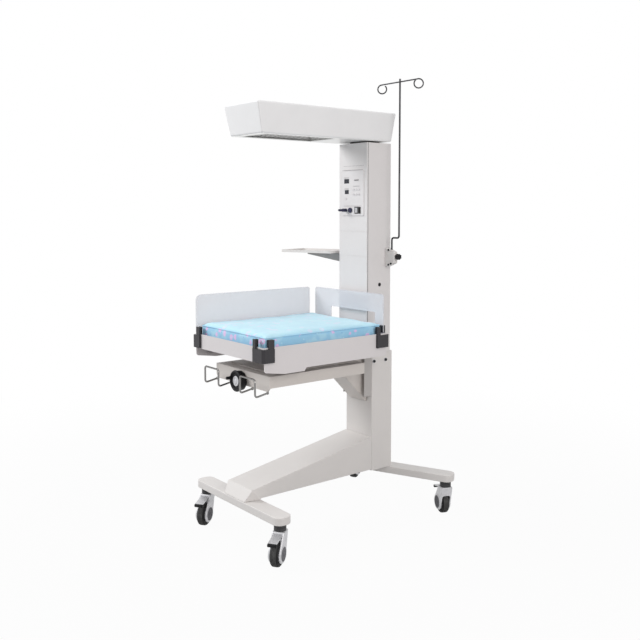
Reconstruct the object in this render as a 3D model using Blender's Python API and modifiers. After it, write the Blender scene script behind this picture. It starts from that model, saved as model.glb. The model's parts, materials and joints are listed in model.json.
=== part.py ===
"""An infant radiant warmer on four braked casters, in metres, with +Z up and the floor at z = 0.

X runs to the right of someone who stands at the foot of the bed and faces the column, and Y runs from
the foot of the bed to the column. The sizes below are measured from the base frame's middle, and the
assembly empty moves the whole to the middle of its own outline.
"""

import math

import bmesh
import bpy
from mathutils import Matrix, Vector

# Fits that many pieces share
SEAT_GAP = 0.0003
RUNNING_GAP = 0.0006
OVERRUN = 0.002
MERGE_DISTANCE = 0.00001
SHEET = 0.002

# Place of the base frame's middle in the object's own frame
BASE_MIDDLE_X = 0.0377
BASE_MIDDLE_Y = -0.0018

# Casters: the swivel stem is the local origin and local +X is where the wheel trails
WHEEL_RADIUS = 0.050
TYRE_WIDTH = 0.033
TYRE_SHOULDER = 0.009
TYRE_CROWN_DROP = 0.0022
HUB_RADIUS = 0.036
HUB_WEB = 0.016
HUB_BOSS_RADIUS = 0.012
AXLE_RADIUS = 0.005
CASTER_TRAIL = 0.033
FORK_WIDTH = 0.051
FORK_WHEEL_SIDE_GAP = 0.002
FORK_WHEEL_GAP = 0.0045
FORK_EDGE = 0.004
FORK_ARCH_EDGE = 0.008
FORK_DISC_RADIUS = 0.036
FORK_DISC_PROUD = 0.001
FORK_DISC_RING = 0.004
FORK_NOSE = 0.034
FORK_NOSE_DROP = 0.019
COLLAR_RADIUS = 0.0245
COLLAR_HEIGHT = 0.027
COLLAR_GROOVE = 0.0015
SWIVEL_PIN_RADIUS = 0.008
SWIVEL_PIN_LENGTH = 0.018
PEDAL_PIN_X = 0.027
PEDAL_PIN_DROP = 0.014
PEDAL_BARREL_RADIUS = 0.006
PEDAL_WIDTH = 0.036
PEDAL_THICKNESS = 0.004
PEDAL_REACH = 0.086
PEDAL_TIP_Z = 0.104
PEDAL_LIP = 0.007
FRONT_TRACK = 0.540
REAR_TRACK = 0.636
WHEELBASE = 0.876
FRONT_TRAIL_DEG = -55.7
REAR_RIGHT_TRAIL_DEG = 155.5
REAR_LEFT_TRAIL_DEG = 118.0

# Leg bars
LEG_UNDERSIDE = 0.158
LEG_HEIGHT = 0.032
LEG_WIDTH = 0.076
LEG_END_RADIUS = 0.030
LEG_EDGE = 0.003
LEG_END_PAST_STEM = 0.037
REAR_SWEEP_DEG = 22.5

# Centre beam, from the front crossbar to the column's foot
BEAM_HALF_WIDTH = 0.089
BEAM_UNDERSIDE_RISE = 0.005
BEAM_NOSE_RISE = 0.046
BEAM_NOSE_SLOPE = 0.028
BEAM_TOP_AT_COLUMN = 0.345
BEAM_FRONT_INSET = 0.002
BEAM_CORNER_ACROSS = 0.016
BEAM_CORNER_ALONG = 0.069
BEAM_CORNER_UP = 0.042
BEAM_EDGE = 0.0025

# Column
COLUMN_FRONT = 0.201
COLUMN_DEPTH = 0.123
LOWER_COLUMN_TOP = 0.725
COLUMN_CORNER = 0.006
HOUSING_HALF_WIDTH = 0.095
HOUSING_FRONT = 0.162
HOUSING_DEPTH = 0.143
HOUSING_TOP = 1.655
HOUSING_CORNER = 0.004
SEAM_WIDTH = 0.0016
SEAM_DEPTH = 0.0015
SEAM_LEVELS = (1.334, 1.266, 1.157)
COVER_SEAM_WIDTH = 0.003
COVER_SEAM_DEPTH = 0.003
REAR_COVER_INSET = 0.012
REAR_COVER_END_INSET = 0.030
REAR_COVER_CORNER = 0.010
SCREW_HEAD_RADIUS = 0.004
SCREW_HEAD_HEIGHT = 0.0016
MOUNT_CHANNEL_RIGHT = 0.084
MOUNT_CHANNEL_FRONT = 0.160
MOUNT_CHANNEL_BOTTOM = 0.531
MOUNT_CHANNEL_WALL = 0.004

# Bed carrier
CARRIER_HALF_WIDTH = 0.196
CARRIER_FRONT = -0.432
CARRIER_BACK = 0.060
CARRIER_TOP = 0.713
CARRIER_DEPTH = 0.046
CARRIER_WALL = 0.0025
CARRIER_FRONT_LIP = 0.015
CARRIER_FRONT_CHAMFER = 0.014
SADDLE_SETBACK = 0.047
SADDLE_HALF_WIDTH = 0.150
SADDLE_THICKNESS = 0.003
LEVER_SLOT_LENGTH = 0.044
LEVER_SLOT_WIDTH = 0.026
GUSSET_HALF_WIDTH = 0.057
GUSSET_FRONT = -0.060
GUSSET_KNEE = 0.031
GUSSET_ANGLE_DEG = 45.0
GUSSET_EDGE = 0.0015

# Tilt mechanism
TILT_SHAFT_Y = -0.180
TILT_SHAFT_RISE = 0.035
TILT_SHAFT_RADIUS = 0.006
TILT_SLEEVE_RADIUS = 0.011
TILT_EAR_X = 0.140
TILT_EAR_THICKNESS = 0.006
TILT_EAR_RADIUS = 0.014
TILT_EAR_FOOT = 0.058
TILT_SHAFT_PAST_EAR = 0.006
HANGER_X = 0.100
HANGER_THICKNESS = 0.006
HANGER_HEAD = 0.070
LEVER_DROP = 0.058
LEVER_THICKNESS = 0.012
LEVER_TIP_RADIUS = 0.005
LEVER_NECK = 0.0060
LEVER_ROOT = 0.014
LEVER_TIP_START_DEG = 127.0
LEVER_TIP_SWEEP_DEG = 286.0
SCREW_DROP = 0.078
SCREW_RADIUS = 0.006
SCREW_PAST_SHAFT = 0.063
SCREW_FLANGE_RADIUS = 0.028
SCREW_FLANGE_LENGTH = 0.014
SCREW_COLLAR_RADIUS = 0.010
SCREW_COLLAR_LENGTH = 0.006
SCREW_BEARING_PAST_SHAFT = 0.056
SCREW_BEARING_THICKNESS = 0.006
SCREW_BEARING_HALF_WIDTH = 0.018
SCREW_BEARING_BELOW = 0.013
NUT_HALF_WIDTH = 0.015
NUT_HALF_LENGTH = 0.014
NUT_BELOW = 0.013
NUT_ABOVE = 0.011
NUT_TINE_ABOVE_TIP = 0.0035
HANDWHEEL_RADIUS = 0.044
HANDWHEEL_RIM = 0.006
HANDWHEEL_DISC = 0.005
HANDWHEEL_DISH = 0.003
HANDWHEEL_HUB_RADIUS = 0.012
HANDWHEEL_STANDOFF = 0.028
SPINNER_RADIUS = 0.0065
SPINNER_LENGTH = 0.027
SPINNER_OFFSET = 0.034
SPINNER_ANGLE_DEG = 164.0
HOOK_ROD_RADIUS = 0.004
HOOK_MIDDLE_X = 0.133
HOOK_HALF_WIDTH = 0.0525
HOOK_STANDOFF = 0.062
HOOK_DROP = 0.005
HOOK_HEIGHT = 0.070
HOOK_FOOT_RISE = 0.011
HOOK_BEND = 0.010
HOOK_NUT_RADIUS = 0.0065
HOOK_NUT_LENGTH = 0.005

# Bed tub
TUB_HALF_WIDTH = 0.2525
TUB_FRONT = -0.499
TUB_BACK = 0.136
TUB_FLOOR_RISE = 0.064
TUB_WALL_RISE = 0.028
TUB_END_DROP = 0.033
TUB_SIDE_DROP = 0.068
TUB_DEEP_DROP = 0.013
TUB_DEEP_LENGTH = 0.195
TUB_NOSE_RISE = 0.014
TUB_NOSE_LENGTH = 0.095
TUB_DEEP_STEP = 0.010
TUB_DEEP_CORNER = 0.012
TUB_LIP = 0.012
TUB_LIP_RISE = 0.0005
RAIL_SIDE_INSET = 0.020
RAIL_END_INSET = 0.047
RAIL_WIDTH = 0.022
RAIL_DROP = 0.060

# Corner clips, four turned copies of one moulding with a long and a short leg
CLIP_PROUD = 0.010
CLIP_LONG_LEG = 0.062
CLIP_SHORT_LEG = 0.045
CLIP_DROP = 0.058
CLIP_BELOW_RIM = 0.0055
CLIP_CHAMFER = 0.010
CLIP_INNER_GAP = 0.0004
PRONG_RISE = 0.030
PRONG_FLOOR_RISE = 0.0015
PRONG_LONG_LEG_LENGTH = 0.017
PRONG_SHORT_LEG_LENGTH = 0.024
PRONG_INSET = 0.001
PRONG_INNER = 0.0055

# Clear panels and mattress
PANEL_THICKNESS = 0.005
PANEL_SLIT_GAP = 0.0004
PANEL_RISE = 0.163
LEFT_PANEL_FRONT_INSET = 0.002
LEFT_PANEL_BACK_INSET = 0.024
LEFT_PANEL_CORNER = 0.022
HEAD_PANEL_SIDE_INSET = 0.0195
HEAD_PANEL_CORNER = 0.012
TUBE_SLOT_LEFT = -0.118
TUBE_SLOT_RIGHT = 0.180
TUBE_SLOT_RISE = 0.083
TUBE_SLOT_CORNER = 0.006
MATTRESS_SIDE_GAP = 0.001
MATTRESS_EDGE_RISE = 0.041
MATTRESS_CROWN = 0.008
MATTRESS_ROUND = 0.016
MATTRESS_DRAW_IN = 0.006
MATTRESS_CELLS = 12

# Control panel
PANEL_LEFT = -0.072
PANEL_RIGHT = 0.075
CONSOLE_BOTTOM = 1.336
CONSOLE_SHOULDER = 1.534
CONSOLE_RISE = 0.006
ARCH_SHARE = 0.75
CONSOLE_THICKNESS = 0.003
CONSOLE_CORNER = 0.006
WINDOW_DEPTH = 0.0015
WINDOW_UPPER = (-0.056, -0.022, 1.479, 1.499)
WINDOW_LOWER = (-0.052, -0.024, 1.432, 1.450)
BAR_DISPLAY = (0.013, 0.044, 1.489, 1.495)
SOCKET_LEVEL = 1.360
PLUG_X = -0.040
PLUG_RADIUS = 0.0055
PLUG_GRIP_RADIUS = 0.0075
PLUG_PIN_RADIUS = 0.004
PLUG_PIN_LENGTH = 0.009
PLUG_LENGTH = 0.044
PLUG_GRIP_LENGTH = 0.0205
PLUG_GRIP_TAPER = 0.0035
PLUG_NOSE_SHARE = 0.7
SOCKET_RING_RADIUS = 0.010
SOCKET_RING_HEIGHT = 0.002
CAP_X = -0.012
CAP_RADIUS = 0.0115
CAP_FACE_SHARE = 0.8
CAP_SHOULDER_SHARE = 0.7
CAP_HEIGHT = 0.007
ROCKER_X = 0.037
ROCKER_WIDTH = 0.026
ROCKER_HEIGHT = 0.022
ROCKER_END_GAP = 0.0013
ROCKER_SIDE_GAP = 0.0008
ROCKER_FRAME = 0.0035
ROCKER_FRAME_HEIGHT = 0.0018
ROCKER_PIVOT_DEPTH = 0.004
ROCKER_BODY_DEPTH = 0.007
ROCKER_END_PROUD = 0.0035
ROCKER_MIDDLE_PROUD = 0.0012
ROCKER_THROW_DEG = 8.0

# Hood
HOOD_AXIS_Y = 0.232
HOOD_HEIGHT = 0.125
HOOD_LIFT = 0.006
HOOD_TOP_HALF_WIDTH = 0.125
HOOD_TOP_FRONT = -0.433
HOOD_TOP_BACK = 0.307
HOOD_FOOT_HALF_WIDTH = 0.115
HOOD_FOOT_FRONT = -0.406
HOOD_FOOT_BACK = 0.288
HOOD_EDGE = 0.007
HOOD_WALL = 0.003
TURNTABLE_RADIUS = 0.066
TURNTABLE_PIN_RADIUS = 0.012
TURNTABLE_PIN_LENGTH = 0.016
TURNTABLE_PIN_HEAD = 0.003
TURNTABLE_HEAD_RADIUS = 0.018
REFLECTOR_PLATE = 0.003
REFLECTOR_EDGE_GAP = 0.0006
REFLECTOR_BOX_HALF_WIDTH = 0.096
REFLECTOR_BOX_FRONT = -0.380
REFLECTOR_BOX_BACK = 0.000
REFLECTOR_BOX_HEIGHT = 0.085
TROUGH_HALF_WIDTH = 0.088
TROUGH_END_WALL = 0.010
TROUGH_DEPTH = 0.074
TROUGH_STEPS = 14
HEATER_RADIUS = 0.0055
HEATER_SPREAD = 0.030
HEATER_LEVEL = 0.044
HEATER_TURN_GAP = 0.022
GUARD_THICKNESS = 0.0015
GUARD_RIM = 0.006
GUARD_BAR = 0.0022
GUARD_GAP = 0.022
GUARD_RECESS = 0.0015

# Instrument tray and its arm
TRAY_PIVOT_X = -0.120
TRAY_PIVOT_Y = 0.220
TRAY_HEADING_DEG = 198.0
TRAY_START = 0.022
TRAY_LENGTH = 0.280
TRAY_HALF_WIDTH = 0.095
TRAY_BASE = 1.163
TRAY_RIM = 0.011
TRAY_CORNER = 0.014
TRAY_EDGE = 0.0012
ARM_ROOT_DROP = 0.043
ARM_ROOT_RISE = 0.017
ARM_TIP_HEIGHT = 0.010
ARM_LENGTH = 0.205
ARM_THICKNESS = 0.016
ARM_BARREL_RADIUS = 0.011
ARM_PIN_RADIUS = 0.004
ARM_PIN_LENGTH = 0.005
LUG_THICKNESS = 0.006
LUG_RADIUS = 0.013

# Drip pole
POLE_RADIUS = 0.004
POLE_X = 0.130
POLE_Y = 0.279
POLE_CRANK = 0.045
POLE_CRANK_RISE = 0.046
POLE_BEND = 0.010
POLE_TOP = 1.928
HOOK_BAR_DROP = 0.013
HOOK_BAR_HALF_LENGTH = 0.113
HOOK_BAR_RADIUS = 0.0030
RING_RADIUS = 0.0195
RING_OPEN_DEG = 42.0
RING_TURN_DEG = 45.0
CLAMP_OUT = 0.157
CLAMP_HALF_THICKNESS = 0.010
CLAMP_BOTTOM = 1.110
CLAMP_HEIGHT = 0.082
CLAMP_ROOT = 0.020
CLAMP_TAPER = 0.017
CLAMP_EDGE = 0.002
CLAMP_BORE_FLOOR = 0.014
KNOB_RISE = 0.045
KNOB_RADIUS = 0.013
KNOB_LOBE_RADIUS = 0.0038
KNOB_LOBES = 6
KNOB_LENGTH = 0.016
KNOB_NECK = 0.006
KNOB_STEM_RADIUS = 0.004

# How finely round shapes are cut
WHEEL_STEPS = 28
ROUND_STEPS = 20
SMALL_STEPS = 12
ARC_SEGMENTS = 4
RING_STEPS = 14

# Places that follow from the sizes above
CARRIER_BOTTOM = CARRIER_TOP - CARRIER_DEPTH
TILT_SHAFT_Z = CARRIER_TOP + TILT_SHAFT_RISE
HANDWHEEL_Y = CARRIER_FRONT - HANDWHEEL_STANDOFF
HOOK_Y = CARRIER_FRONT - HOOK_STANDOFF
HOOK_TOP = CARRIER_TOP - HOOK_DROP
HOOK_BOTTOM = HOOK_TOP - HOOK_HEIGHT
SCREW_BACK = TILT_SHAFT_Y + SCREW_PAST_SHAFT
SCREW_BEARING_Y = TILT_SHAFT_Y + SCREW_BEARING_PAST_SHAFT
TUB_FLOOR = TILT_SHAFT_Z + TUB_FLOOR_RISE
TUB_TOP = TUB_FLOOR + TUB_WALL_RISE
TUB_END_BOTTOM = TUB_FLOOR - TUB_END_DROP
TUB_SIDE_BOTTOM = TUB_FLOOR - TUB_SIDE_DROP
TUB_DEEP_BACK = TUB_FRONT + TUB_DEEP_LENGTH
RAIL_X = TUB_HALF_WIDTH - RAIL_SIDE_INSET
CLIP_BOTTOM = TUB_TOP - CLIP_DROP
CLIP_TOP = TUB_TOP - CLIP_BELOW_RIM
PRONG_TOP = TUB_TOP + PRONG_RISE
HOOD_BOTTOM = HOUSING_TOP + HOOD_LIFT
HOOD_TOP = HOOD_BOTTOM + HOOD_HEIGHT
ARM_ROOT_BOTTOM = TRAY_BASE - ARM_ROOT_DROP
ARM_ROOT_TOP = TRAY_BASE + ARM_ROOT_RISE
CLAMP_TOP = CLAMP_BOTTOM + CLAMP_HEIGHT
KNOB_LEVEL = CLAMP_BOTTOM + KNOB_RISE
POLE_CRANK_LEVEL = CLAMP_TOP + POLE_CRANK_RISE
HOOK_BAR_LEVEL = POLE_TOP - HOOK_BAR_DROP
COLLAR_FOOT = LEG_UNDERSIDE - SEAT_GAP - COLLAR_HEIGHT
FORK_TOP = COLLAR_FOOT - SEAT_GAP
LEG_TOP = LEG_UNDERSIDE + LEG_HEIGHT
COLUMN_BACK = COLUMN_FRONT + COLUMN_DEPTH
HOUSING_BACK = HOUSING_FRONT + HOUSING_DEPTH
HALF_WHEELBASE = WHEELBASE / 2
SCREW_Z = TILT_SHAFT_Z - SCREW_DROP
LEVER_TIP_Z = TILT_SHAFT_Z - LEVER_DROP
CONSOLE_FACE = HOUSING_FRONT - SEAT_GAP - CONSOLE_THICKNESS
PANEL_LINE_X = TUB_HALF_WIDTH - SHEET / 2
PANEL_LINE_FRONT = TUB_FRONT + SHEET / 2
PANEL_LINE_BACK = TUB_BACK - SHEET / 2
PRONG_FLOOR = TUB_TOP + PRONG_FLOOR_RISE
PANEL_FOOT = PRONG_FLOOR + SEAT_GAP
PANEL_TOP = TUB_TOP + PANEL_RISE
TUBE_SLOT_TOP = TUB_TOP + TUBE_SLOT_RISE
LEFT_PANEL_FRONT = TUB_FRONT + LEFT_PANEL_FRONT_INSET
LEFT_PANEL_BACK = TUB_BACK - LEFT_PANEL_BACK_INSET
MATTRESS_HALF_WIDTH = PANEL_LINE_X - PRONG_INNER - MATTRESS_SIDE_GAP
MATTRESS_FRONT = PANEL_LINE_FRONT + PRONG_INNER + MATTRESS_SIDE_GAP
MATTRESS_BACK = PANEL_LINE_BACK - PRONG_INNER - MATTRESS_SIDE_GAP
MATTRESS_EDGE_TOP = TUB_TOP + MATTRESS_EDGE_RISE
PLATE_BOTTOM = HOOD_BOTTOM
TROUGH_MOUTH = PLATE_BOTTOM + REFLECTOR_PLATE


# Scene and collections

for old in list(bpy.data.objects):
    bpy.data.objects.remove(old, do_unlink=True)

PARTS = bpy.data.collections.new("infant_radiant_warmer")
CUTTERS = bpy.data.collections.new("cutters")
bpy.context.scene.collection.children.link(PARTS)
bpy.context.scene.collection.children.link(CUTTERS)
CUTTERS.hide_render = True


def make_empty(name, place, parent=None, turn_deg=0.0):
    """An empty at a place given in its parent's frame, turned about Z."""
    empty = bpy.data.objects.new(name, None)
    empty.location = place
    empty.rotation_euler = (0, 0, math.radians(turn_deg))
    empty.parent = parent
    PARTS.objects.link(empty)
    return empty


ASSEMBLY = make_empty("assembly", (BASE_MIDDLE_X, BASE_MIDDLE_Y, 0))


# Materials

def make_material(name, colour, roughness, metallic=0.0, alpha=1.0):
    material = bpy.data.materials.new(name)
    material.use_nodes = True
    shader = material.node_tree.nodes["Principled BSDF"]
    shader.inputs["Base Color"].default_value = (*colour, 1.0)
    shader.inputs["Roughness"].default_value = roughness
    shader.inputs["Metallic"].default_value = metallic
    shader.inputs["Alpha"].default_value = alpha
    material.diffuse_color = (*colour, alpha)
    return material


WHITE_PAINT = make_material("white_paint", (0.86, 0.86, 0.86), 0.4)
BASE_PAINT = make_material("base_paint", (0.80, 0.80, 0.81), 0.45)
BED_PAINT = make_material("bed_paint", (0.82, 0.79, 0.77), 0.45)
CHANNEL_PAINT = make_material("channel_paint", (0.55, 0.53, 0.51), 0.5)
CASTER_METAL = make_material("caster_metal", (0.58, 0.60, 0.62), 0.35, 0.6)
HUB_GREY = make_material("hub_grey", (0.35, 0.35, 0.37), 0.5)
TYRE_BLACK = make_material("tyre_black", (0.03, 0.03, 0.03), 0.7)
DARK_PLASTIC = make_material("dark_plastic", (0.06, 0.06, 0.07), 0.5)
CLIP_PLASTIC = make_material("clip_plastic", (0.10, 0.11, 0.14), 0.45)
NAVY_PLASTIC = make_material("navy_plastic", (0.03, 0.05, 0.14), 0.4)
CHROME = make_material("chrome", (0.75, 0.75, 0.76), 0.12, 1.0)
REFLECTOR_METAL = make_material("reflector_metal", (0.85, 0.85, 0.84), 0.2, 0.9)
QUARTZ = make_material("quartz", (0.80, 0.74, 0.66), 0.25)
ACRYLIC = make_material("acrylic", (0.86, 0.87, 0.90), 0.12, 0.0, 0.35)
MATTRESS_FABRIC = make_material("mattress_fabric", (0.45, 0.82, 0.92), 0.8)
CONSOLE_FILM = make_material("console_film", (0.80, 0.81, 0.84), 0.45)
DISPLAY_BLACK = make_material("display_black", (0.02, 0.02, 0.04), 0.2)


# Modelling helpers

def link_object(name, mesh, material, shade_deg=30.0):
    """A named object under the assembly, its faces smooth up to the given angle."""
    made = bpy.data.objects.new(name, mesh)
    mesh.materials.clear()
    mesh.materials.append(material)
    mesh.shade_smooth()
    mesh.set_sharp_from_angle(angle=math.radians(shade_deg))
    made.parent = ASSEMBLY
    PARTS.objects.link(made)
    return made


def closed_mesh(name, bm):
    """A mesh from a bmesh, with its doubles merged and its faces pointing out."""
    bmesh.ops.remove_doubles(bm, verts=bm.verts, dist=MERGE_DISTANCE)
    bmesh.ops.recalc_face_normals(bm, faces=bm.faces)
    mesh = bpy.data.meshes.new(name)
    bm.to_mesh(mesh)
    bm.free()
    return mesh


def settle(made):
    """Turn an object's modifiers into its mesh."""
    bpy.context.view_layer.update()
    graph = bpy.context.evaluated_depsgraph_get()
    material = made.data.materials[0]
    mesh = bpy.data.meshes.new_from_object(made.evaluated_get(graph))
    made.modifiers.clear()
    bm = bmesh.new()
    bm.from_mesh(mesh)
    made.data = closed_mesh(made.name, bm)
    made.data.materials.append(material)
    made.data.shade_smooth()
    made.data.set_sharp_from_angle(angle=math.radians(30.0))
    return made


def bevel_edges(made, width, segments=2, angle_deg=40.0):
    bevel = made.modifiers.new("rounded_edges", "BEVEL")
    bevel.width = width
    bevel.segments = segments
    bevel.limit_method = "ANGLE"
    bevel.angle_limit = math.radians(angle_deg)
    return made


def block(name, low, high, material, edge=0.0, segments=2):
    """A box between two corners, its edges rounded where an edge size is given."""
    low, high = Vector(low), Vector(high)
    bm = bmesh.new()
    bmesh.ops.create_cube(bm, size=1)
    bmesh.ops.scale(bm, vec=high - low, verts=bm.verts)
    made = link_object(name, closed_mesh(name, bm), material)
    made.location = (low + high) / 2
    if edge:
        bevel_edges(made, edge, segments)
    return made


def rounded(points, radius, closed=True, segments=ARC_SEGMENTS):
    """The points of an outline or path with its corners turned into arcs, one radius or one for each."""
    points = [Vector(point).to_3d() for point in points]
    radii = list(radius) if isinstance(radius, (list, tuple)) else [radius] * len(points)
    result = []
    for index, here in enumerate(points):
        inner = closed or 0 < index < len(points) - 1
        if not inner or not radii[index]:
            result.append(here)
            continue
        back = (points[index - 1] - here).normalized()
        ahead = (points[(index + 1) % len(points)] - here).normalized()
        half_angle = back.angle(ahead) / 2
        reach = radii[index] / math.tan(half_angle)
        centre = here + (back + ahead).normalized() * radii[index] / math.sin(half_angle)
        start = here + back * reach - centre
        end = here + ahead * reach - centre
        for step in range(segments + 1):
            result.append(centre + start.slerp(end, step / segments) * radii[index])
    return result


def rectangle(left, right, bottom, top):
    return [(left, bottom), (right, bottom), (right, top), (left, top)]


def circle(middle, radius, steps, start_deg=0.0, sweep_deg=360.0):
    """Points round a circle, or along an arc with both of its ends."""
    whole = sweep_deg == 360.0
    count = steps if whole else steps + 1
    turns = [math.radians(start_deg + sweep_deg * step / steps) for step in range(count)]
    return [(middle[0] + radius * math.cos(t), middle[1] + radius * math.sin(t)) for t in turns]


def strip(path, thickness):
    """The closed outline of a bent sheet whose middle follows the path."""
    points = [Vector(point).to_2d() for point in path]
    runs = [(b - a).normalized() for a, b in zip(points, points[1:])]
    left, right = [], []
    for index, point in enumerate(points):
        before = runs[max(index - 1, 0)]
        after = runs[min(index, len(runs) - 1)]
        middle = (before + after).normalized()
        offset = Vector((-middle.y, middle.x)) * thickness / 2 / middle.dot(before)
        left.append(point + offset)
        right.append(point - offset)
    return left + right[::-1]


PLANE_TURNS = {
    "XY": (0, 0, 0),
    "XZ": (math.pi / 2, 0, 0),
    "YZ": (math.pi / 2, 0, math.pi / 2),
}


def plate(name, outlines, low, high, material, plane="XY", edge=0.0, segments=2):
    """Closed outlines in a plane, the inner ones holes, made solid from low to high across it."""
    curve = bpy.data.curves.new(name, "CURVE")
    curve.dimensions = "2D"
    curve.fill_mode = "BOTH"
    curve.extrude = abs(high - low) / 2
    for outline in outlines:
        spline = curve.splines.new("POLY")
        spline.points.add(len(outline) - 1)
        for slot, point in zip(spline.points, outline):
            slot.co = (point[0], point[1], 0, 1)
        spline.use_cyclic_u = True
    bm = curve_bmesh(curve)
    bmesh.ops.dissolve_limit(bm, angle_limit=math.radians(0.1), verts=bm.verts, edges=bm.edges)
    made = link_object(name, closed_mesh(name, bm), material)
    made.rotation_euler = PLANE_TURNS[plane]
    middle = (low + high) / 2
    made.location = {"XY": (0, 0, middle), "XZ": (0, middle, 0), "YZ": (middle, 0, 0)}[plane]
    if edge:
        bevel_edges(made, edge, segments)
    return made


def curve_bmesh(curve):
    """The mesh of a curve in a bmesh, its caps welded; the curve is removed."""
    guide = bpy.data.objects.new("guide", curve)
    PARTS.objects.link(guide)
    bpy.context.view_layer.update()
    graph = bpy.context.evaluated_depsgraph_get()
    mesh = bpy.data.meshes.new_from_object(guide.evaluated_get(graph))
    bm = bmesh.new()
    bm.from_mesh(mesh)
    bmesh.ops.remove_doubles(bm, verts=bm.verts, dist=MERGE_DISTANCE)
    bpy.data.objects.remove(guide, do_unlink=True)
    bpy.data.meshes.remove(mesh)
    bpy.data.curves.remove(curve)
    return bm


def tube(name, points, radius, material, resolution=2, closed=False):
    """A round rod along a path, with capped ends."""
    curve = bpy.data.curves.new(name, "CURVE")
    curve.dimensions = "3D"
    curve.bevel_depth = radius
    curve.bevel_resolution = resolution
    curve.use_fill_caps = True
    spline = curve.splines.new("POLY")
    spline.points.add(len(points) - 1)
    for slot, point in zip(spline.points, points):
        slot.co = (*Vector(point).to_3d(), 1)
    spline.use_cyclic_u = closed
    return link_object(name, closed_mesh(name, curve_bmesh(curve)), material)


def turned(name, profile, material, steps=ROUND_STEPS, closed=False):
    """A profile of (radius, height) points, top to bottom down its outer side, turned about Z."""
    bm = bmesh.new()
    points = [bm.verts.new((radius, 0, height)) for radius, height in profile]
    for first, second in zip(points, points[1:]):
        bm.edges.new((first, second))
    if closed:
        bm.edges.new((points[-1], points[0]))
    mesh = bpy.data.meshes.new(name)
    bm.to_mesh(mesh)
    bm.free()
    made = link_object(name, mesh, material)
    screw = made.modifiers.new("turn", "SCREW")
    screw.axis = "Z"
    screw.angle = 2 * math.pi
    screw.steps = steps
    screw.render_steps = steps
    screw.use_merge_vertices = True
    screw.merge_threshold = MERGE_DISTANCE
    return settle(made)


def rod(name, start, end, radius, material, steps=ROUND_STEPS):
    """A cylinder between two points."""
    start, end = Vector(start), Vector(end)
    run = end - start
    bm = bmesh.new()
    bmesh.ops.create_cone(
        bm, cap_ends=True, segments=steps, radius1=radius, radius2=radius, depth=run.length
    )
    made = link_object(name, closed_mesh(name, bm), material)
    made.rotation_euler = run.to_track_quat("Z", "Y").to_euler()
    made.location = (start + end) / 2
    return made


def boolean(made, others, operation):
    for other in others:
        if operation != "UNION" or other.modifiers:
            settle(other)
        change = made.modifiers.new(operation.lower(), "BOOLEAN")
        change.operation = operation
        change.solver = "EXACT"
        change.object = other
        PARTS.objects.unlink(other)
        CUTTERS.objects.link(other)
        other.hide_render = True
        other.display_type = "WIRE"
    return made


def cut(made, *cutters):
    return boolean(made, cutters, "DIFFERENCE")


def join(made, *others):
    return boolean(made, others, "UNION")


def slice_off(made, place, normal):
    """Cut away what lies beyond a plane, given in the object's own mesh space, and close the cut."""
    bm = bmesh.new()
    bm.from_mesh(made.data)
    whole = bm.verts[:] + bm.edges[:] + bm.faces[:]
    found = bmesh.ops.bisect_plane(
        bm, geom=whole, plane_co=place, plane_no=normal, clear_outer=True
    )
    edges = [item for item in found["geom_cut"] if isinstance(item, bmesh.types.BMEdge)]
    bmesh.ops.contextual_create(bm, geom=edges)
    bmesh.ops.recalc_face_normals(bm, faces=bm.faces)
    bm.to_mesh(made.data)
    bm.free()
    return made


def carry(joint, *pieces):
    """Hang pieces that were placed in the base frame on an unturned joint empty."""
    for piece in pieces:
        piece.location = piece.location - joint.location
        piece.parent = joint


# Base

def bar_ends(track, sweep_deg):
    """Middle line of a leg bar, from end to end past its two stems."""
    half = track / 2
    sweep = math.radians(sweep_deg)
    past = Vector((math.cos(sweep), math.sin(sweep))) * LEG_END_PAST_STEM
    return half, past


def make_leg_bar(name, track, stem_y, sweep_deg):
    half, past = bar_ends(track, sweep_deg)
    apex = stem_y - half * math.tan(math.radians(sweep_deg))
    path = [(-half - past.x, stem_y + past.y), (0, apex), (half + past.x, stem_y + past.y)]
    corners = strip(path, LEG_WIDTH)
    radii = [LEG_END_RADIUS, 0, LEG_END_RADIUS, LEG_END_RADIUS, 0, LEG_END_RADIUS]
    outline = rounded(corners, radii)
    return plate(name, [outline], LEG_UNDERSIDE, LEG_TOP, BASE_PAINT, edge=LEG_EDGE)


def make_centre_beam():
    bar_front = -HALF_WHEELBASE - LEG_WIDTH / 2
    nose = bar_front + BEAM_FRONT_INSET
    foot = LEG_TOP + SEAT_GAP
    underside = foot + BEAM_UNDERSIDE_RISE
    bar_back = -HALF_WHEELBASE + LEG_WIDTH / 2
    back = COLUMN_FRONT - SEAT_GAP
    profile = [
        (nose, foot),
        (bar_back - BEAM_UNDERSIDE_RISE, foot),
        (bar_back, underside),
        (back, underside),
        (back, BEAM_TOP_AT_COLUMN),
        (nose + BEAM_NOSE_SLOPE, foot + BEAM_NOSE_RISE),
    ]
    beam = plate("centre_beam", [profile], -BEAM_HALF_WIDTH, BEAM_HALF_WIDTH, BASE_PAINT, "YZ")
    for side in (-1, 1):
        lower_front = Vector((nose, foot, side * (BEAM_HALF_WIDTH - BEAM_CORNER_ACROSS)))
        lower_back = Vector((nose + BEAM_CORNER_ALONG, foot, side * BEAM_HALF_WIDTH))
        upper = Vector((nose + BEAM_NOSE_SLOPE, foot + BEAM_CORNER_UP, side * BEAM_HALF_WIDTH))
        normal = (lower_back - lower_front).cross(upper - lower_front)
        outward = normal if normal.z * side > 0 else -normal
        slice_off(beam, lower_front, outward)
    return bevel_edges(beam, BEAM_EDGE, 2, 20.0)


# Casters

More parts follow.
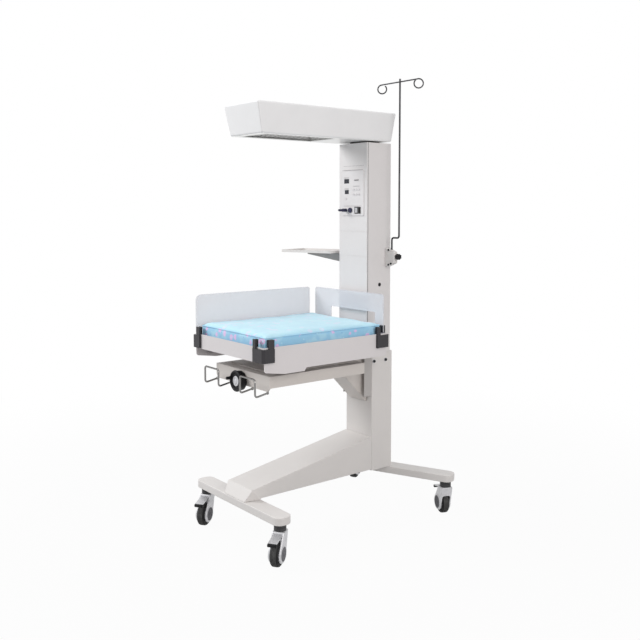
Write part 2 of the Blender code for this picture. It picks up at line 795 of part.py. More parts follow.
def make_fork_mesh():
    """The fork with its swivel pin and axle, about the caster's own stem."""
    axle = (CASTER_TRAIL, WHEEL_RADIUS)
    front_low = circle(axle, FORK_DISC_RADIUS, 10, -150.0, 185.0)
    outline = [
        (-COLLAR_RADIUS, FORK_TOP),
        *[point for point in front_low],
        (FORK_NOSE, FORK_TOP - FORK_NOSE_DROP),
        (COLLAR_RADIUS, FORK_TOP),
    ]
    half = FORK_WIDTH / 2
    fork = plate("fork", [outline], -half, half, CASTER_METAL, "XZ", FORK_EDGE, 2)
    slot_half = TYRE_WIDTH / 2 + FORK_WHEEL_SIDE_GAP
    slot_radius = WHEEL_RADIUS + FORK_WHEEL_GAP
    arch = circle(axle, slot_radius, 14, 0.0, 135.0)
    behind, below = -COLLAR_RADIUS - FORK_ARCH_EDGE, -FORK_ARCH_EDGE
    arch += [(behind, arch[-1][1]), (behind, below), (axle[0] + slot_radius, below)]
    wheel_space = plate(
        "wheel_space", [arch], -slot_half, slot_half, CASTER_METAL, "XZ", FORK_ARCH_EDGE
    )
    pin = (PEDAL_PIN_X, FORK_TOP - PEDAL_PIN_DROP)
    notch_radius = PEDAL_BARREL_RADIUS + RUNNING_GAP
    notch = circle(pin, notch_radius, 8, 90.0, 180.0)
    notch += [(FORK_NOSE + notch_radius, pin[1] - notch_radius)]
    notch += [(FORK_NOSE + notch_radius, FORK_TOP + OVERRUN), (pin[0], FORK_TOP + OVERRUN)]
    notch_half = PEDAL_WIDTH / 2 + RUNNING_GAP
    pedal_notch = plate("pedal_notch", [notch], -notch_half, notch_half, CASTER_METAL, "XZ")
    axle_rod = rod(
        "axle_rod",
        (axle[0], -slot_half - OVERRUN, axle[1]),
        (axle[0], slot_half + OVERRUN, axle[1]),
        AXLE_RADIUS,
        CASTER_METAL,
        SMALL_STEPS,
    )
    swivel_pin = rod(
        "swivel_pin",
        (0, 0, FORK_TOP - OVERRUN),
        (0, 0, FORK_TOP + SWIVEL_PIN_LENGTH),
        SWIVEL_PIN_RADIUS,
        CASTER_METAL,
        SMALL_STEPS,
    )
    discs = []
    for side in (-1, 1):
        ring = turned(
            "disc_ring",
            [
                (FORK_DISC_RADIUS - FORK_EDGE, FORK_DISC_PROUD),
                (FORK_DISC_RADIUS - FORK_EDGE, -OVERRUN),
                (FORK_DISC_RADIUS - FORK_EDGE - FORK_DISC_RING, -OVERRUN),
                (FORK_DISC_RADIUS - FORK_EDGE - FORK_DISC_RING, FORK_DISC_PROUD),
            ],
            CASTER_METAL,
            closed=True,
        )
        ring.rotation_euler = (-side * math.pi / 2, 0, 0)
        ring.location = (axle[0], side * half, axle[1])
        discs.append(ring)
    cut(fork, wheel_space, pedal_notch)
    join(fork, axle_rod, swivel_pin, *discs)
    return take_mesh(fork)


def take_mesh(made):
    """Settle an object that was only a pattern, remove it and return its mesh in the base frame."""
    made.parent = None
    helpers = [change.object for change in made.modifiers if change.type == "BOOLEAN"]
    for helper in helpers:
        helper.parent = None
    settle(made)
    mesh = made.data
    mesh.transform(made.matrix_basis)
    for item in [made, *helpers]:
        bpy.data.objects.remove(item, do_unlink=True)
    return mesh


def make_tyre_mesh():
    half = TYRE_WIDTH / 2
    outer = [
        (HUB_RADIUS + SEAT_GAP, half),
        (WHEEL_RADIUS - TYRE_SHOULDER, half),
        (WHEEL_RADIUS - TYRE_CROWN_DROP, half - TYRE_SHOULDER / 2),
        (WHEEL_RADIUS, half - TYRE_SHOULDER),
        (WHEEL_RADIUS, -half + TYRE_SHOULDER),
        (WHEEL_RADIUS - TYRE_CROWN_DROP, -half + TYRE_SHOULDER / 2),
        (WHEEL_RADIUS - TYRE_SHOULDER, -half),
        (HUB_RADIUS + SEAT_GAP, -half),
    ]
    tyre = turned("tyre", outer, TYRE_BLACK, WHEEL_STEPS, closed=True)
    return take_mesh(tyre)


def make_hub_mesh():
    half = TYRE_WIDTH / 2
    web = HUB_WEB / 2
    bore = AXLE_RADIUS + SEAT_GAP
    rim = HUB_RADIUS - FORK_DISC_RING
    profile = [
        (bore, half),
        (HUB_BOSS_RADIUS, half),
        (HUB_BOSS_RADIUS, web),
        (rim, web),
        (rim, half),
        (HUB_RADIUS, half),
        (HUB_RADIUS, -half),
        (rim, -half),
        (rim, -web),
        (HUB_BOSS_RADIUS, -web),
        (HUB_BOSS_RADIUS, -half),
        (bore, -half),
    ]
    return take_mesh(turned("hub", profile, HUB_GREY, closed=True))


def make_pedal_mesh():
    """The brake pedal about its own pin, reaching over the wheel to a turned-down lip."""
    tip = Vector((PEDAL_REACH - PEDAL_PIN_X, PEDAL_TIP_Z - FORK_TOP + PEDAL_PIN_DROP))
    slope_deg = math.degrees(math.atan2(tip.y, tip.x))
    radius = PEDAL_BARREL_RADIUS
    under = radius - PEDAL_THICKNESS
    under_deg = math.degrees(math.asin(under / radius))
    flat = [
        *circle((0, 0), radius, 10, 90.0, 270.0 + under_deg),
        (tip.length, under),
        (tip.length + PEDAL_LIP / 2, under - PEDAL_LIP),
        (tip.length + PEDAL_LIP / 2 + PEDAL_THICKNESS, under - PEDAL_LIP),
        (tip.length + PEDAL_THICKNESS, under + PEDAL_THICKNESS / 2),
        (tip.length + PEDAL_THICKNESS / 2, radius),
    ]
    turn = Matrix.Rotation(math.radians(slope_deg), 2)
    outline = [turn @ Vector(point) for point in flat]
    half = PEDAL_WIDTH / 2
    return take_mesh(plate("pedal", [outline], -half, half, CASTER_METAL, "XZ"))


def make_collar_mesh():
    bore = SWIVEL_PIN_RADIUS + SEAT_GAP
    bore_top = COLLAR_FOOT - SEAT_GAP + SWIVEL_PIN_LENGTH + RUNNING_GAP
    top = LEG_UNDERSIDE - SEAT_GAP
    middle = (top + COLLAR_FOOT) / 2
    profile = [
        (0, top),
        (COLLAR_RADIUS, top),
        (COLLAR_RADIUS, middle + COLLAR_GROOVE),
        (COLLAR_RADIUS - COLLAR_GROOVE, middle),
        (COLLAR_RADIUS, middle - COLLAR_GROOVE),
        (COLLAR_RADIUS, COLLAR_FOOT),
        (bore, COLLAR_FOOT),
        (bore, bore_top),
        (0, bore_top),
    ]
    return take_mesh(turned("collar", profile, DARK_PLASTIC))


def make_casters():
    fork, tyre, hub = make_fork_mesh(), make_tyre_mesh(), make_hub_mesh()
    pedal, collar = make_pedal_mesh(), make_collar_mesh()
    front_x, rear_x = FRONT_TRACK / 2, REAR_TRACK / 2
    stations = {
        "front_left": (-front_x, -HALF_WHEELBASE, FRONT_TRAIL_DEG),
        "front_right": (front_x, -HALF_WHEELBASE, FRONT_TRAIL_DEG),
        "rear_left": (-rear_x, HALF_WHEELBASE, REAR_LEFT_TRAIL_DEG),
        "rear_right": (rear_x, HALF_WHEELBASE, REAR_RIGHT_TRAIL_DEG),
    }
    for corner, (x, y, trail_deg) in stations.items():
        seat = link_object("caster_collar_" + corner, collar, DARK_PLASTIC)
        seat.location = (x, y, 0)
        swivel = make_empty("joint_swivel_" + corner, (x, y, 0), ASSEMBLY, trail_deg)
        body = link_object("caster_fork_" + corner, fork, CASTER_METAL)
        body.parent = swivel
        spin = make_empty("joint_wheel_" + corner, (CASTER_TRAIL, 0, WHEEL_RADIUS), swivel)
        for name, mesh, material in (("tyre", tyre, TYRE_BLACK), ("hub", hub, HUB_GREY)):
            wheel = link_object("caster_" + name + "_" + corner, mesh, material)
            wheel.parent = spin
            wheel.rotation_euler = (math.pi / 2, 0, 0)
        pin = (PEDAL_PIN_X, 0, FORK_TOP - PEDAL_PIN_DROP)
        brake = make_empty("joint_brake_" + corner, pin, swivel)
        lever = link_object("caster_pedal_" + corner, pedal, CASTER_METAL)
        lever.parent = brake


# Column

def make_lower_column():
    outline = rounded(
        rectangle(-BEAM_HALF_WIDTH, BEAM_HALF_WIDTH, COLUMN_FRONT, COLUMN_BACK), COLUMN_CORNER
    )
    foot = LEG_TOP + SEAT_GAP
    return plate("lower_column", [outline], foot, LOWER_COLUMN_TOP - SEAT_GAP, BASE_PAINT)


def make_upper_housing():
    half = HOUSING_HALF_WIDTH
    outline = rounded(rectangle(-half, half, HOUSING_FRONT, HOUSING_BACK), HOUSING_CORNER)
    housing = plate("upper_housing", [outline], LOWER_COLUMN_TOP, HOUSING_TOP, WHITE_PAINT)
    past = half + OVERRUN
    cutters = []
    for level in SEAM_LEVELS:
        seam = block(
            "seam",
            (-past, HOUSING_FRONT - OVERRUN, level - SEAM_WIDTH / 2),
            (past, HOUSING_FRONT + SEAM_DEPTH, level + SEAM_WIDTH / 2),
            WHITE_PAINT,
        )
        cutters.append(seam)
    seam_front = HOUSING_FRONT + HOUSING_CORNER
    for side in (-1, 1):
        inner, outer = side * (half - COVER_SEAM_DEPTH), side * past
        cutters.append(
            block(
                "cover_seam",
                (min(inner, outer), seam_front, LOWER_COLUMN_TOP - OVERRUN),
                (max(inner, outer), seam_front + COVER_SEAM_WIDTH, HOUSING_TOP + OVERRUN),
                WHITE_PAINT,
            )
        )
    rocker_x = ROCKER_WIDTH / 2 + ROCKER_END_GAP
    rocker_z = ROCKER_HEIGHT / 2 + ROCKER_SIDE_GAP
    pocket_back = CONSOLE_FACE + ROCKER_PIVOT_DEPTH + ROCKER_BODY_DEPTH + ROCKER_SIDE_GAP
    cutters.append(
        block(
            "rocker_pocket",
            (ROCKER_X - rocker_x, HOUSING_FRONT - OVERRUN, SOCKET_LEVEL - rocker_z),
            (ROCKER_X + rocker_x, pocket_back, SOCKET_LEVEL + rocker_z),
            WHITE_PAINT,
        )
    )
    cutters.append(
        rod(
            "plug_bore",
            (PLUG_X, HOUSING_FRONT - OVERRUN, SOCKET_LEVEL),
            (PLUG_X, CONSOLE_FACE - SOCKET_RING_HEIGHT + PLUG_PIN_LENGTH + SEAT_GAP, SOCKET_LEVEL),
            PLUG_PIN_RADIUS + SEAT_GAP,
            WHITE_PAINT,
            SMALL_STEPS,
        )
    )
    cut(housing, *cutters)
    pivot = (TRAY_PIVOT_X, TRAY_PIVOT_Y)
    lug_outline = [
        (-half + OVERRUN, pivot[1] - LUG_RADIUS),
        (-half + OVERRUN, pivot[1] + LUG_RADIUS),
        *circle(pivot, LUG_RADIUS, 8, 90.0, 180.0),
    ]
    bore = circle(pivot, ARM_PIN_RADIUS + SEAT_GAP, SMALL_STEPS)
    lower = ARM_ROOT_BOTTOM - SEAT_GAP
    upper = ARM_ROOT_TOP + SEAT_GAP
    lugs = [
        plate("lower_lug", [lug_outline, bore], lower - LUG_THICKNESS, lower, WHITE_PAINT),
        plate("upper_lug", [lug_outline, bore], upper, upper + LUG_THICKNESS, WHITE_PAINT),
    ]
    return join(housing, *lugs)


def make_rear_cover():
    half = HOUSING_HALF_WIDTH - REAR_COVER_INSET
    bottom = LOWER_COLUMN_TOP + REAR_COVER_END_INSET
    top = HOUSING_TOP - REAR_COVER_END_INSET
    outline = rounded(rectangle(-half, half, bottom, top), REAR_COVER_CORNER)
    near = HOUSING_BACK + SEAT_GAP
    cover = plate("rear_cover", [outline], near, near + SHEET, WHITE_PAINT, "XZ")
    across = half - REAR_COVER_CORNER
    heads = []
    for x in (-across, across):
        for z in (bottom + REAR_COVER_CORNER, (bottom + top) / 2, top - REAR_COVER_CORNER):
            heads.append(
                rod(
                    "screw_head",
                    (x, near + SHEET / 2, z),
                    (x, near + SHEET + SCREW_HEAD_HEIGHT, z),
                    SCREW_HEAD_RADIUS,
                    WHITE_PAINT,
                    8,
                )
            )
    return join(cover, *heads)


def make_mount_channel():
    wall = MOUNT_CHANNEL_WALL
    left = -GUSSET_HALF_WIDTH - SEAT_GAP - wall
    right = MOUNT_CHANNEL_RIGHT
    back = COLUMN_FRONT - SEAT_GAP
    outline = [
        (left, MOUNT_CHANNEL_FRONT),
        (left + wall, MOUNT_CHANNEL_FRONT),
        (left + wall, back - wall),
        (right - wall, back - wall),
        (right - wall, MOUNT_CHANNEL_FRONT),
        (right, MOUNT_CHANNEL_FRONT),
        (right, back),
        (left, back),
    ]
    return plate(
        "column_mount_channel", [outline], MOUNT_CHANNEL_BOTTOM, CARRIER_TOP - SEAT_GAP, CHANNEL_PAINT
    )


# Bed carrier

def make_under_frame():
    """An inverted trough with a deeper front plate, a saddle, two ears and the screw's rear bearing."""
    half = CARRIER_HALF_WIDTH
    wall = CARRIER_WALL
    section = [
        (-half, CARRIER_BOTTOM),
        (-half + wall, CARRIER_BOTTOM),
        (-half + wall, CARRIER_TOP - wall),
        (half - wall, CARRIER_TOP - wall),
        (half - wall, CARRIER_BOTTOM),
        (half, CARRIER_BOTTOM),
        (half, CARRIER_TOP),
        (-half, CARRIER_TOP),
    ]
    front = CARRIER_FRONT + wall
    frame = plate("under_frame", [section], front, CARRIER_BACK, BED_PAINT, "XZ")
    low = CARRIER_BOTTOM - CARRIER_FRONT_LIP
    face = [
        (-half + CARRIER_FRONT_CHAMFER, low),
        (half - CARRIER_FRONT_CHAMFER, low),
        (half, low + CARRIER_FRONT_CHAMFER),
        (half, CARRIER_TOP),
        (-half, CARRIER_TOP),
        (-half, low + CARRIER_FRONT_CHAMFER),
    ]
    bore = circle((0, SCREW_Z), SCREW_RADIUS + RUNNING_GAP, SMALL_STEPS)
    front_plate = plate(
        "front_plate", [face, bore], CARRIER_FRONT, front + wall / 2, BED_PAINT, "XZ"
    )
    saddle = block(
        "saddle",
        (-SADDLE_HALF_WIDTH, CARRIER_FRONT + SADDLE_SETBACK, CARRIER_TOP - wall / 2),
        (SADDLE_HALF_WIDTH, CARRIER_BACK - wall, CARRIER_TOP + SADDLE_THICKNESS),
        BED_PAINT,
    )
    ears = []
    foot = CARRIER_TOP + SADDLE_THICKNESS / 2
    for side in (-1, 1):
        outline = [
            (TILT_SHAFT_Y + TILT_EAR_FOOT / 2, foot),
            *circle((TILT_SHAFT_Y, TILT_SHAFT_Z), TILT_EAR_RADIUS, 10, 0.0, 180.0),
            (TILT_SHAFT_Y - TILT_EAR_FOOT / 2, foot),
        ]
        hole = circle((TILT_SHAFT_Y, TILT_SHAFT_Z), TILT_SHAFT_RADIUS + SEAT_GAP, ROUND_STEPS)
        middle = side * TILT_EAR_X
        reach = TILT_EAR_THICKNESS / 2
        ears.append(plate("ear", [outline, hole], middle - reach, middle + reach, BED_PAINT, "YZ"))
    bearing_face = rectangle(
        -SCREW_BEARING_HALF_WIDTH,
        SCREW_BEARING_HALF_WIDTH,
        SCREW_Z - SCREW_BEARING_BELOW,
        CARRIER_TOP - wall / 2,
    )
    bearing = plate(
        "bearing",
        [bearing_face, bore],
        SCREW_BEARING_Y - SCREW_BEARING_THICKNESS / 2,
        SCREW_BEARING_Y + SCREW_BEARING_THICKNESS / 2,
        BED_PAINT,
        "XZ",
    )
    slot_front = TILT_SHAFT_Y - LEVER_SLOT_LENGTH / 2
    slot_back = TILT_SHAFT_Y + LEVER_SLOT_LENGTH / 2
    slot = block(
        "lever_slot",
        (-LEVER_SLOT_WIDTH / 2, slot_front, CARRIER_TOP - wall - OVERRUN),
        (LEVER_SLOT_WIDTH / 2, slot_back, CARRIER_TOP + SADDLE_THICKNESS + OVERRUN),
        BED_PAINT,
    )
    join(frame, front_plate, saddle, bearing, *ears)
    return cut(frame, slot)


def make_gusset():
    """The welded bracket that carries the bed's frame on the column, its underside sloping."""
    top = CARRIER_TOP - CARRIER_WALL - SEAT_GAP
    back = COLUMN_FRONT - SEAT_GAP - MOUNT_CHANNEL_WALL - SEAT_GAP
    drop = (back - GUSSET_KNEE) * math.tan(math.radians(GUSSET_ANGLE_DEG))
    outline = [
        (GUSSET_FRONT, top),
        (GUSSET_FRONT, (CARRIER_BOTTOM + top) / 2),
        (GUSSET_KNEE, CARRIER_BOTTOM),
        (back, CARRIER_BOTTOM - drop),
        (back, top),
    ]
    half = GUSSET_HALF_WIDTH
    return plate("gusset_bracket", [outline], -half, half, BED_PAINT, "YZ", GUSSET_EDGE, 1)


def make_tilt_shaft():
    reach = TILT_EAR_X + TILT_EAR_THICKNESS / 2 + TILT_SHAFT_PAST_EAR
    return rod(
        "tilt_shaft",
        (-reach, TILT_SHAFT_Y, TILT_SHAFT_Z),
        (reach, TILT_SHAFT_Y, TILT_SHAFT_Z),
        TILT_SHAFT_RADIUS,
        CHROME,
    )


def make_tilt_lever():
    """A sleeve on the tilt shaft with two hangers up to the tub and a lever down to the nut."""
    y, z = TILT_SHAFT_Y, TILT_SHAFT_Z
    half = TILT_EAR_X - TILT_EAR_THICKNESS / 2 - RUNNING_GAP
    lever = rod("tilt_lever", (-half, y, z), (half, y, z), TILT_SLEEVE_RADIUS, CHANNEL_PAINT)
    head = TUB_FLOOR - SEAT_GAP
    hanger_outline = [
        (y + HANGER_HEAD / 2, head),
        (y - HANGER_HEAD / 2, head),
        *circle((y, z), TILT_EAR_RADIUS, 8, 180.0, 180.0),
    ]
    hangers = [
        plate(
            "hanger",
            [hanger_outline],
            side * HANGER_X - HANGER_THICKNESS / 2,
            side * HANGER_X + HANGER_THICKNESS / 2,
            CHANNEL_PAINT,
            "YZ",
        )
        for side in (-1, 1)
    ]
    tip_top = LEVER_TIP_Z + LEVER_TIP_RADIUS * math.sin(math.acos(LEVER_NECK / 2 / LEVER_TIP_RADIUS))
    arm_outline = [
        *circle((y, LEVER_TIP_Z), LEVER_TIP_RADIUS, 14, LEVER_TIP_START_DEG, LEVER_TIP_SWEEP_DEG),
        (y + LEVER_NECK / 2, tip_top + OVERRUN),
        (y + LEVER_ROOT / 2, z),
        (y - LEVER_ROOT / 2, z),
        (y - LEVER_NECK / 2, tip_top + OVERRUN),
    ]
    reach = LEVER_THICKNESS / 2
    arm = plate("arm", [arm_outline], -reach, reach, CHANNEL_PAINT, "YZ")
    bore = rod(
        "shaft_bore",
        (-half - OVERRUN, y, z),
        (half + OVERRUN, y, z),
        TILT_SHAFT_RADIUS + SEAT_GAP,
        CHANNEL_PAINT,
    )
    join(lever, *hangers, arm)
    return cut(lever, bore)


def make_lead_screw():
    """The screw from its flange in front of the carrier to its rear bearing, turned about its own line."""
    start = CARRIER_FRONT - SEAT_GAP
    front = HANDWHEEL_Y - HANDWHEEL_DISC / 2
    back_of_plate = CARRIER_FRONT + CARRIER_WALL + CARRIER_WALL / 2
    profile = [
        (0, start - front),
        (SCREW_RADIUS, start - front),
        (SCREW_RADIUS, SCREW_FLANGE_LENGTH),
        (SCREW_FLANGE_RADIUS - SCREW_COLLAR_LENGTH, SCREW_FLANGE_LENGTH),
        (SCREW_FLANGE_RADIUS, SCREW_FLANGE_LENGTH - SCREW_COLLAR_LENGTH),
        (SCREW_FLANGE_RADIUS, 0),
        (SCREW_RADIUS, 0),
        (SCREW_RADIUS, start - back_of_plate - RUNNING_GAP),
        (SCREW_COLLAR_RADIUS, start - back_of_plate - RUNNING_GAP),
        (SCREW_COLLAR_RADIUS, start - back_of_plate - RUNNING_GAP - SCREW_COLLAR_LENGTH),
        (SCREW_RADIUS, start - back_of_plate - RUNNING_GAP - SCREW_COLLAR_LENGTH),
        (SCREW_RADIUS, start - SCREW_BACK),
        (0, start - SCREW_BACK),
    ]
    screw = turned("lead_screw", profile, CHROME)
    screw.rotation_euler = (math.pi / 2, 0, 0)
    screw.location = (0, start, SCREW_Z)
    return screw


def make_handwheel():
    """A dished wheel with a round rim, on the end of the screw, and its spinner knob."""
    bore = SCREW_RADIUS + SEAT_GAP
    inner = HANDWHEEL_RADIUS - 2 * HANDWHEEL_RIM
    disc = HANDWHEEL_DISC / 2
    rim_middle = HANDWHEEL_RADIUS - HANDWHEEL_RIM
    rim = circle((rim_middle, 0), HANDWHEEL_RIM, 8, 155.0, -310.0)
    profile = [
        (bore, disc),
        (HANDWHEEL_HUB_RADIUS, disc),
        (HANDWHEEL_HUB_RADIUS + HANDWHEEL_DISH, disc - HANDWHEEL_DISH / 2),
        (inner, disc - HANDWHEEL_DISH / 2),
        *rim,
        (inner, -disc),
        (bore, -disc),
    ]
    wheel = turned("handwheel", profile, DARK_PLASTIC, WHEEL_STEPS, closed=True)
    wheel.rotation_euler = (math.pi / 2, 0, 0)
    wheel.location = (0, HANDWHEEL_Y, SCREW_Z)
    angle = math.radians(SPINNER_ANGLE_DEG)
    x = SPINNER_OFFSET * math.cos(angle)
    z = SCREW_Z + SPINNER_OFFSET * math.sin(angle)
    knob = rod(
        "spinner",
        (x, HANDWHEEL_Y - SPINNER_LENGTH, z),
        (x, HANDWHEEL_Y, z),
        SPINNER_RADIUS,
        DARK_PLASTIC,
        SMALL_STEPS,
    )
    bevel_edges(knob, SPINNER_RADIUS / 3, 1)
    return join(wheel, knob)


def make_lift_nut():
    """The nut on the screw, with two tines that hold the lever's round tip between them."""
    low = SCREW_Z - NUT_BELOW
    top = LEVER_TIP_Z + NUT_TINE_ABOVE_TIP
    base = block(
        "lift_nut",
        (-NUT_HALF_WIDTH, TILT_SHAFT_Y - NUT_HALF_LENGTH, low),
        (NUT_HALF_WIDTH, TILT_SHAFT_Y + NUT_HALF_LENGTH, top),
        CHANNEL_PAINT,
    )
    gap = LEVER_TIP_RADIUS + SEAT_GAP
    fork = block(
        "fork_gap",
        (-NUT_HALF_WIDTH - OVERRUN, TILT_SHAFT_Y - gap, SCREW_Z + NUT_ABOVE),
        (NUT_HALF_WIDTH + OVERRUN, TILT_SHAFT_Y + gap, top + OVERRUN),
        CHANNEL_PAINT,
    )
    thread = rod(
        "thread",
        (0, TILT_SHAFT_Y - NUT_HALF_LENGTH - OVERRUN, SCREW_Z),
        (0, TILT_SHAFT_Y + NUT_HALF_LENGTH + OVERRUN, SCREW_Z),
        SCREW_RADIUS + SEAT_GAP,
        CHANNEL_PAINT,
        ROUND_STEPS,
    )
    return cut(base, fork, thread)


def make_wire_hook(name, side):
    """A bent rod that stands off the front plate, with a nut on its outer foot."""
    foot_z = HOOK_BOTTOM + HOOK_FOOT_RISE
    outer = side * (HOOK_MIDDLE_X + HOOK_HALF_WIDTH)
    inner = side * (HOOK_MIDDLE_X - HOOK_HALF_WIDTH)
    foot_y = CARRIER_FRONT - SEAT_GAP
    end_y = foot_y - HOOK_NUT_LENGTH / 2
    path = [
        (inner, end_y, foot_z),
        (inner, HOOK_Y, HOOK_BOTTOM),
        (inner, HOOK_Y, HOOK_TOP),
        (outer, HOOK_Y, HOOK_TOP),
        (outer, HOOK_Y, HOOK_BOTTOM),
        (outer, end_y, foot_z),
    ]
    hook = tube(name, rounded(path, HOOK_BEND, closed=False), HOOK_ROD_RADIUS, CHROME)
    nuts = [
        rod("nut", (x, foot_y - HOOK_NUT_LENGTH, foot_z), (x, foot_y, foot_z), HOOK_NUT_RADIUS, CHROME, 6)
        for x in (inner, outer)
    ]
    return join(hook, *nuts)


# Bed

def below_tub_outline():
    """What lies under the tub's walls: short ends, and sides that hang deeper at the foot end."""
    deep = TUB_SIDE_BOTTOM - TUB_DEEP_DROP
    front, back = TUB_FRONT + SHEET, TUB_BACK - SHEET
    corners = [
        (TUB_FRONT - OVERRUN, TUB_END_BOTTOM),
        (front, TUB_END_BOTTOM),
        (front, deep + TUB_NOSE_RISE),
        (front + TUB_NOSE_LENGTH, deep),
        (TUB_DEEP_BACK, deep),
        (TUB_DEEP_BACK + TUB_DEEP_STEP, TUB_SIDE_BOTTOM),
        (back, TUB_SIDE_BOTTOM),
        (back, TUB_END_BOTTOM),
        (TUB_BACK + OVERRUN, TUB_END_BOTTOM),
        (TUB_BACK + OVERRUN, deep - OVERRUN),
        (TUB_FRONT - OVERRUN, deep - OVERRUN),
    ]
    return rounded(corners, [0, 0, TUB_DEEP_CORNER, 0, 0, 0, TUB_DEEP_CORNER, 0, 0, 0, 0])


def make_bed_tub():
    half = TUB_HALF_WIDTH
    inner = half - SHEET
    walls = [
        rectangle(-half, half, TUB_FRONT, TUB_BACK),
        rectangle(-inner, inner, TUB_FRONT + SHEET, TUB_BACK - SHEET),
    ]
    tub = plate("bed_tub", walls, TUB_SIDE_BOTTOM - TUB_DEEP_DROP, TUB_TOP, BED_PAINT)
    across = half + OVERRUN
    below = plate("below_tub", [below_tub_outline()], -across, across, BED_PAINT, "YZ")
    cut(tub, below)
    middle = half - SHEET / 2
    near, far = TUB_FRONT + SHEET / 2, TUB_BACK - SHEET / 2
    lip = TUB_END_BOTTOM + TUB_LIP_RISE
    pieces = [
        block("floor", (-middle, near, TUB_FLOOR), (middle, far, TUB_FLOOR + SHEET), BED_PAINT),
        block("front_lip", (-middle, near, lip), (middle, TUB_FRONT + TUB_LIP, lip + SHEET), BED_PAINT),
        block("back_lip", (-middle, TUB_BACK - TUB_LIP, lip), (middle, far, lip + SHEET), BED_PAINT),
    ]
    front, back = TUB_FRONT + RAIL_END_INSET, TUB_BACK - RAIL_END_INSET
    for side in (-1, 1):
        pieces.append(plate("rail", [rail_section(side)], front, back, BED_PAINT, "XZ"))
    return join(tub, *pieces)


def rail_section(side):
    """An angle that hangs from the tub's floor with its foot turned inwards."""
    outer = side * (RAIL_X + RAIL_WIDTH / 2)
    inner = side * (RAIL_X - RAIL_WIDTH / 2)
    web = outer - side * SHEET
    foot = TUB_FLOOR - RAIL_DROP
    top = TUB_FLOOR + SHEET / 2
    return [(outer, top), (outer, foot), (inner, foot), (inner, foot + SHEET), (web, foot + SHEET), (web, top)]


def make_clip_mesh():
    """A corner clip about the tub's outer corner, its long leg along -X and its short leg along +Y."""
    out, gap = CLIP_PROUD, CLIP_INNER_GAP
    outline = rounded(
        [
            (-CLIP_LONG_LEG, -out),
            (out, -out),
            (out, CLIP_SHORT_LEG),
            (gap, CLIP_SHORT_LEG),
            (gap, -gap),
            (-CLIP_LONG_LEG, -gap),
        ],
        [0, CLIP_CHAMFER, 0, 0, 0, 0],
        segments=1,
    )
    body = plate("clip", [outline], CLIP_BOTTOM, CLIP_TOP, CLIP_PLASTIC)
    line = SHEET / 2
    inner = line + PRONG_INNER
    foot, rim = CLIP_TOP - OVERRUN, TUB_TOP + SEAT_GAP
    section = [
        (out - PRONG_INSET, foot),
        (out - PRONG_INSET, PRONG_TOP),
        (-inner, PRONG_TOP),
        (-inner, rim),
        (gap + PRONG_INSET, rim),
        (gap + PRONG_INSET, foot),
    ]
    turned_section = [(-across, height) for across, height in section]
    near, far = PRONG_INSET - CLIP_LONG_LEG, CLIP_SHORT_LEG - PRONG_INSET
    long_end, short_end = near + PRONG_LONG_LEG_LENGTH, far - PRONG_SHORT_LEG_LENGTH
    long_prong = plate("long_leg_prong", [turned_section], near, long_end, CLIP_PLASTIC, "YZ")
    short_prong = plate("short_leg_prong", [section], short_end, far, CLIP_PLASTIC, "XZ")
    slit = PANEL_THICKNESS / 2 + PANEL_SLIT_GAP
    top = PRONG_TOP + OVERRUN
    long_slit = block(
        "long_leg_slit",
        (near - OVERRUN, line - slit, PRONG_FLOOR),
        (long_end + OVERRUN, line + slit, top),
        CLIP_PLASTIC,
    )
    short_slit = block(
        "short_leg_slit",
        (-line - slit, short_end - OVERRUN, PRONG_FLOOR),
        (-line + slit, far + OVERRUN, top),
        CLIP_PLASTIC,
    )
    join(body, long_prong, short_prong)
    cut(body, long_slit, short_slit)
    return take_mesh(body)


def make_clips():
    """The four corner clips, each a quarter turn on from the last."""
    mesh = make_clip_mesh()
    corners = {
        "front_right": (TUB_HALF_WIDTH, TUB_FRONT),
        "rear_right": (TUB_HALF_WIDTH, TUB_BACK),
        "rear_left": (-TUB_HALF_WIDTH, TUB_BACK),
        "front_left": (-TUB_HALF_WIDTH, TUB_FRONT),
    }
    clips = []
    for quarter, (corner, (x, y)) in enumerate(corners.items()):
        clip = link_object("clip_" + corner, mesh, CLIP_PLASTIC)
        clip.location = (x, y, 0)
        clip.rotation_euler = (0, 0, quarter * math.pi / 2)
        clips.append(clip)
    return clips


def make_left_panel():
    outline = rounded(
        rectangle(LEFT_PANEL_FRONT, LEFT_PANEL_BACK, PANEL_FOOT, PANEL_TOP),
        [0, 0, LEFT_PANEL_CORNER / 2, LEFT_PANEL_CORNER],
    )
    half = PANEL_THICKNESS / 2
    return plate("left_panel", [outline], -PANEL_LINE_X - half, -PANEL_LINE_X + half, ACRYLIC, "YZ")


def make_head_panel():
    half_width = TUB_HALF_WIDTH - HEAD_PANEL_SIDE_INSET
    corners = [
        (-half_width, PANEL_FOOT),
        (TUBE_SLOT_LEFT, PANEL_FOOT),
        (TUBE_SLOT_LEFT, TUBE_SLOT_TOP),
        (TUBE_SLOT_RIGHT, TUBE_SLOT_TOP),
        (TUBE_SLOT_RIGHT, PANEL_FOOT),
        (half_width, PANEL_FOOT),
        (half_width, PANEL_TOP),
        (-half_width, PANEL_TOP),
    ]
    radii = [0, 0, TUBE_SLOT_CORNER, TUBE_SLOT_CORNER, 0, 0, HEAD_PANEL_CORNER, HEAD_PANEL_CORNER]
    half = PANEL_THICKNESS / 2
    return plate(
        "head_panel",
        [rounded(corners, radii)],
        PANEL_LINE_BACK - half,
        PANEL_LINE_BACK + half,
        ACRYLIC,
        "XZ",
    )


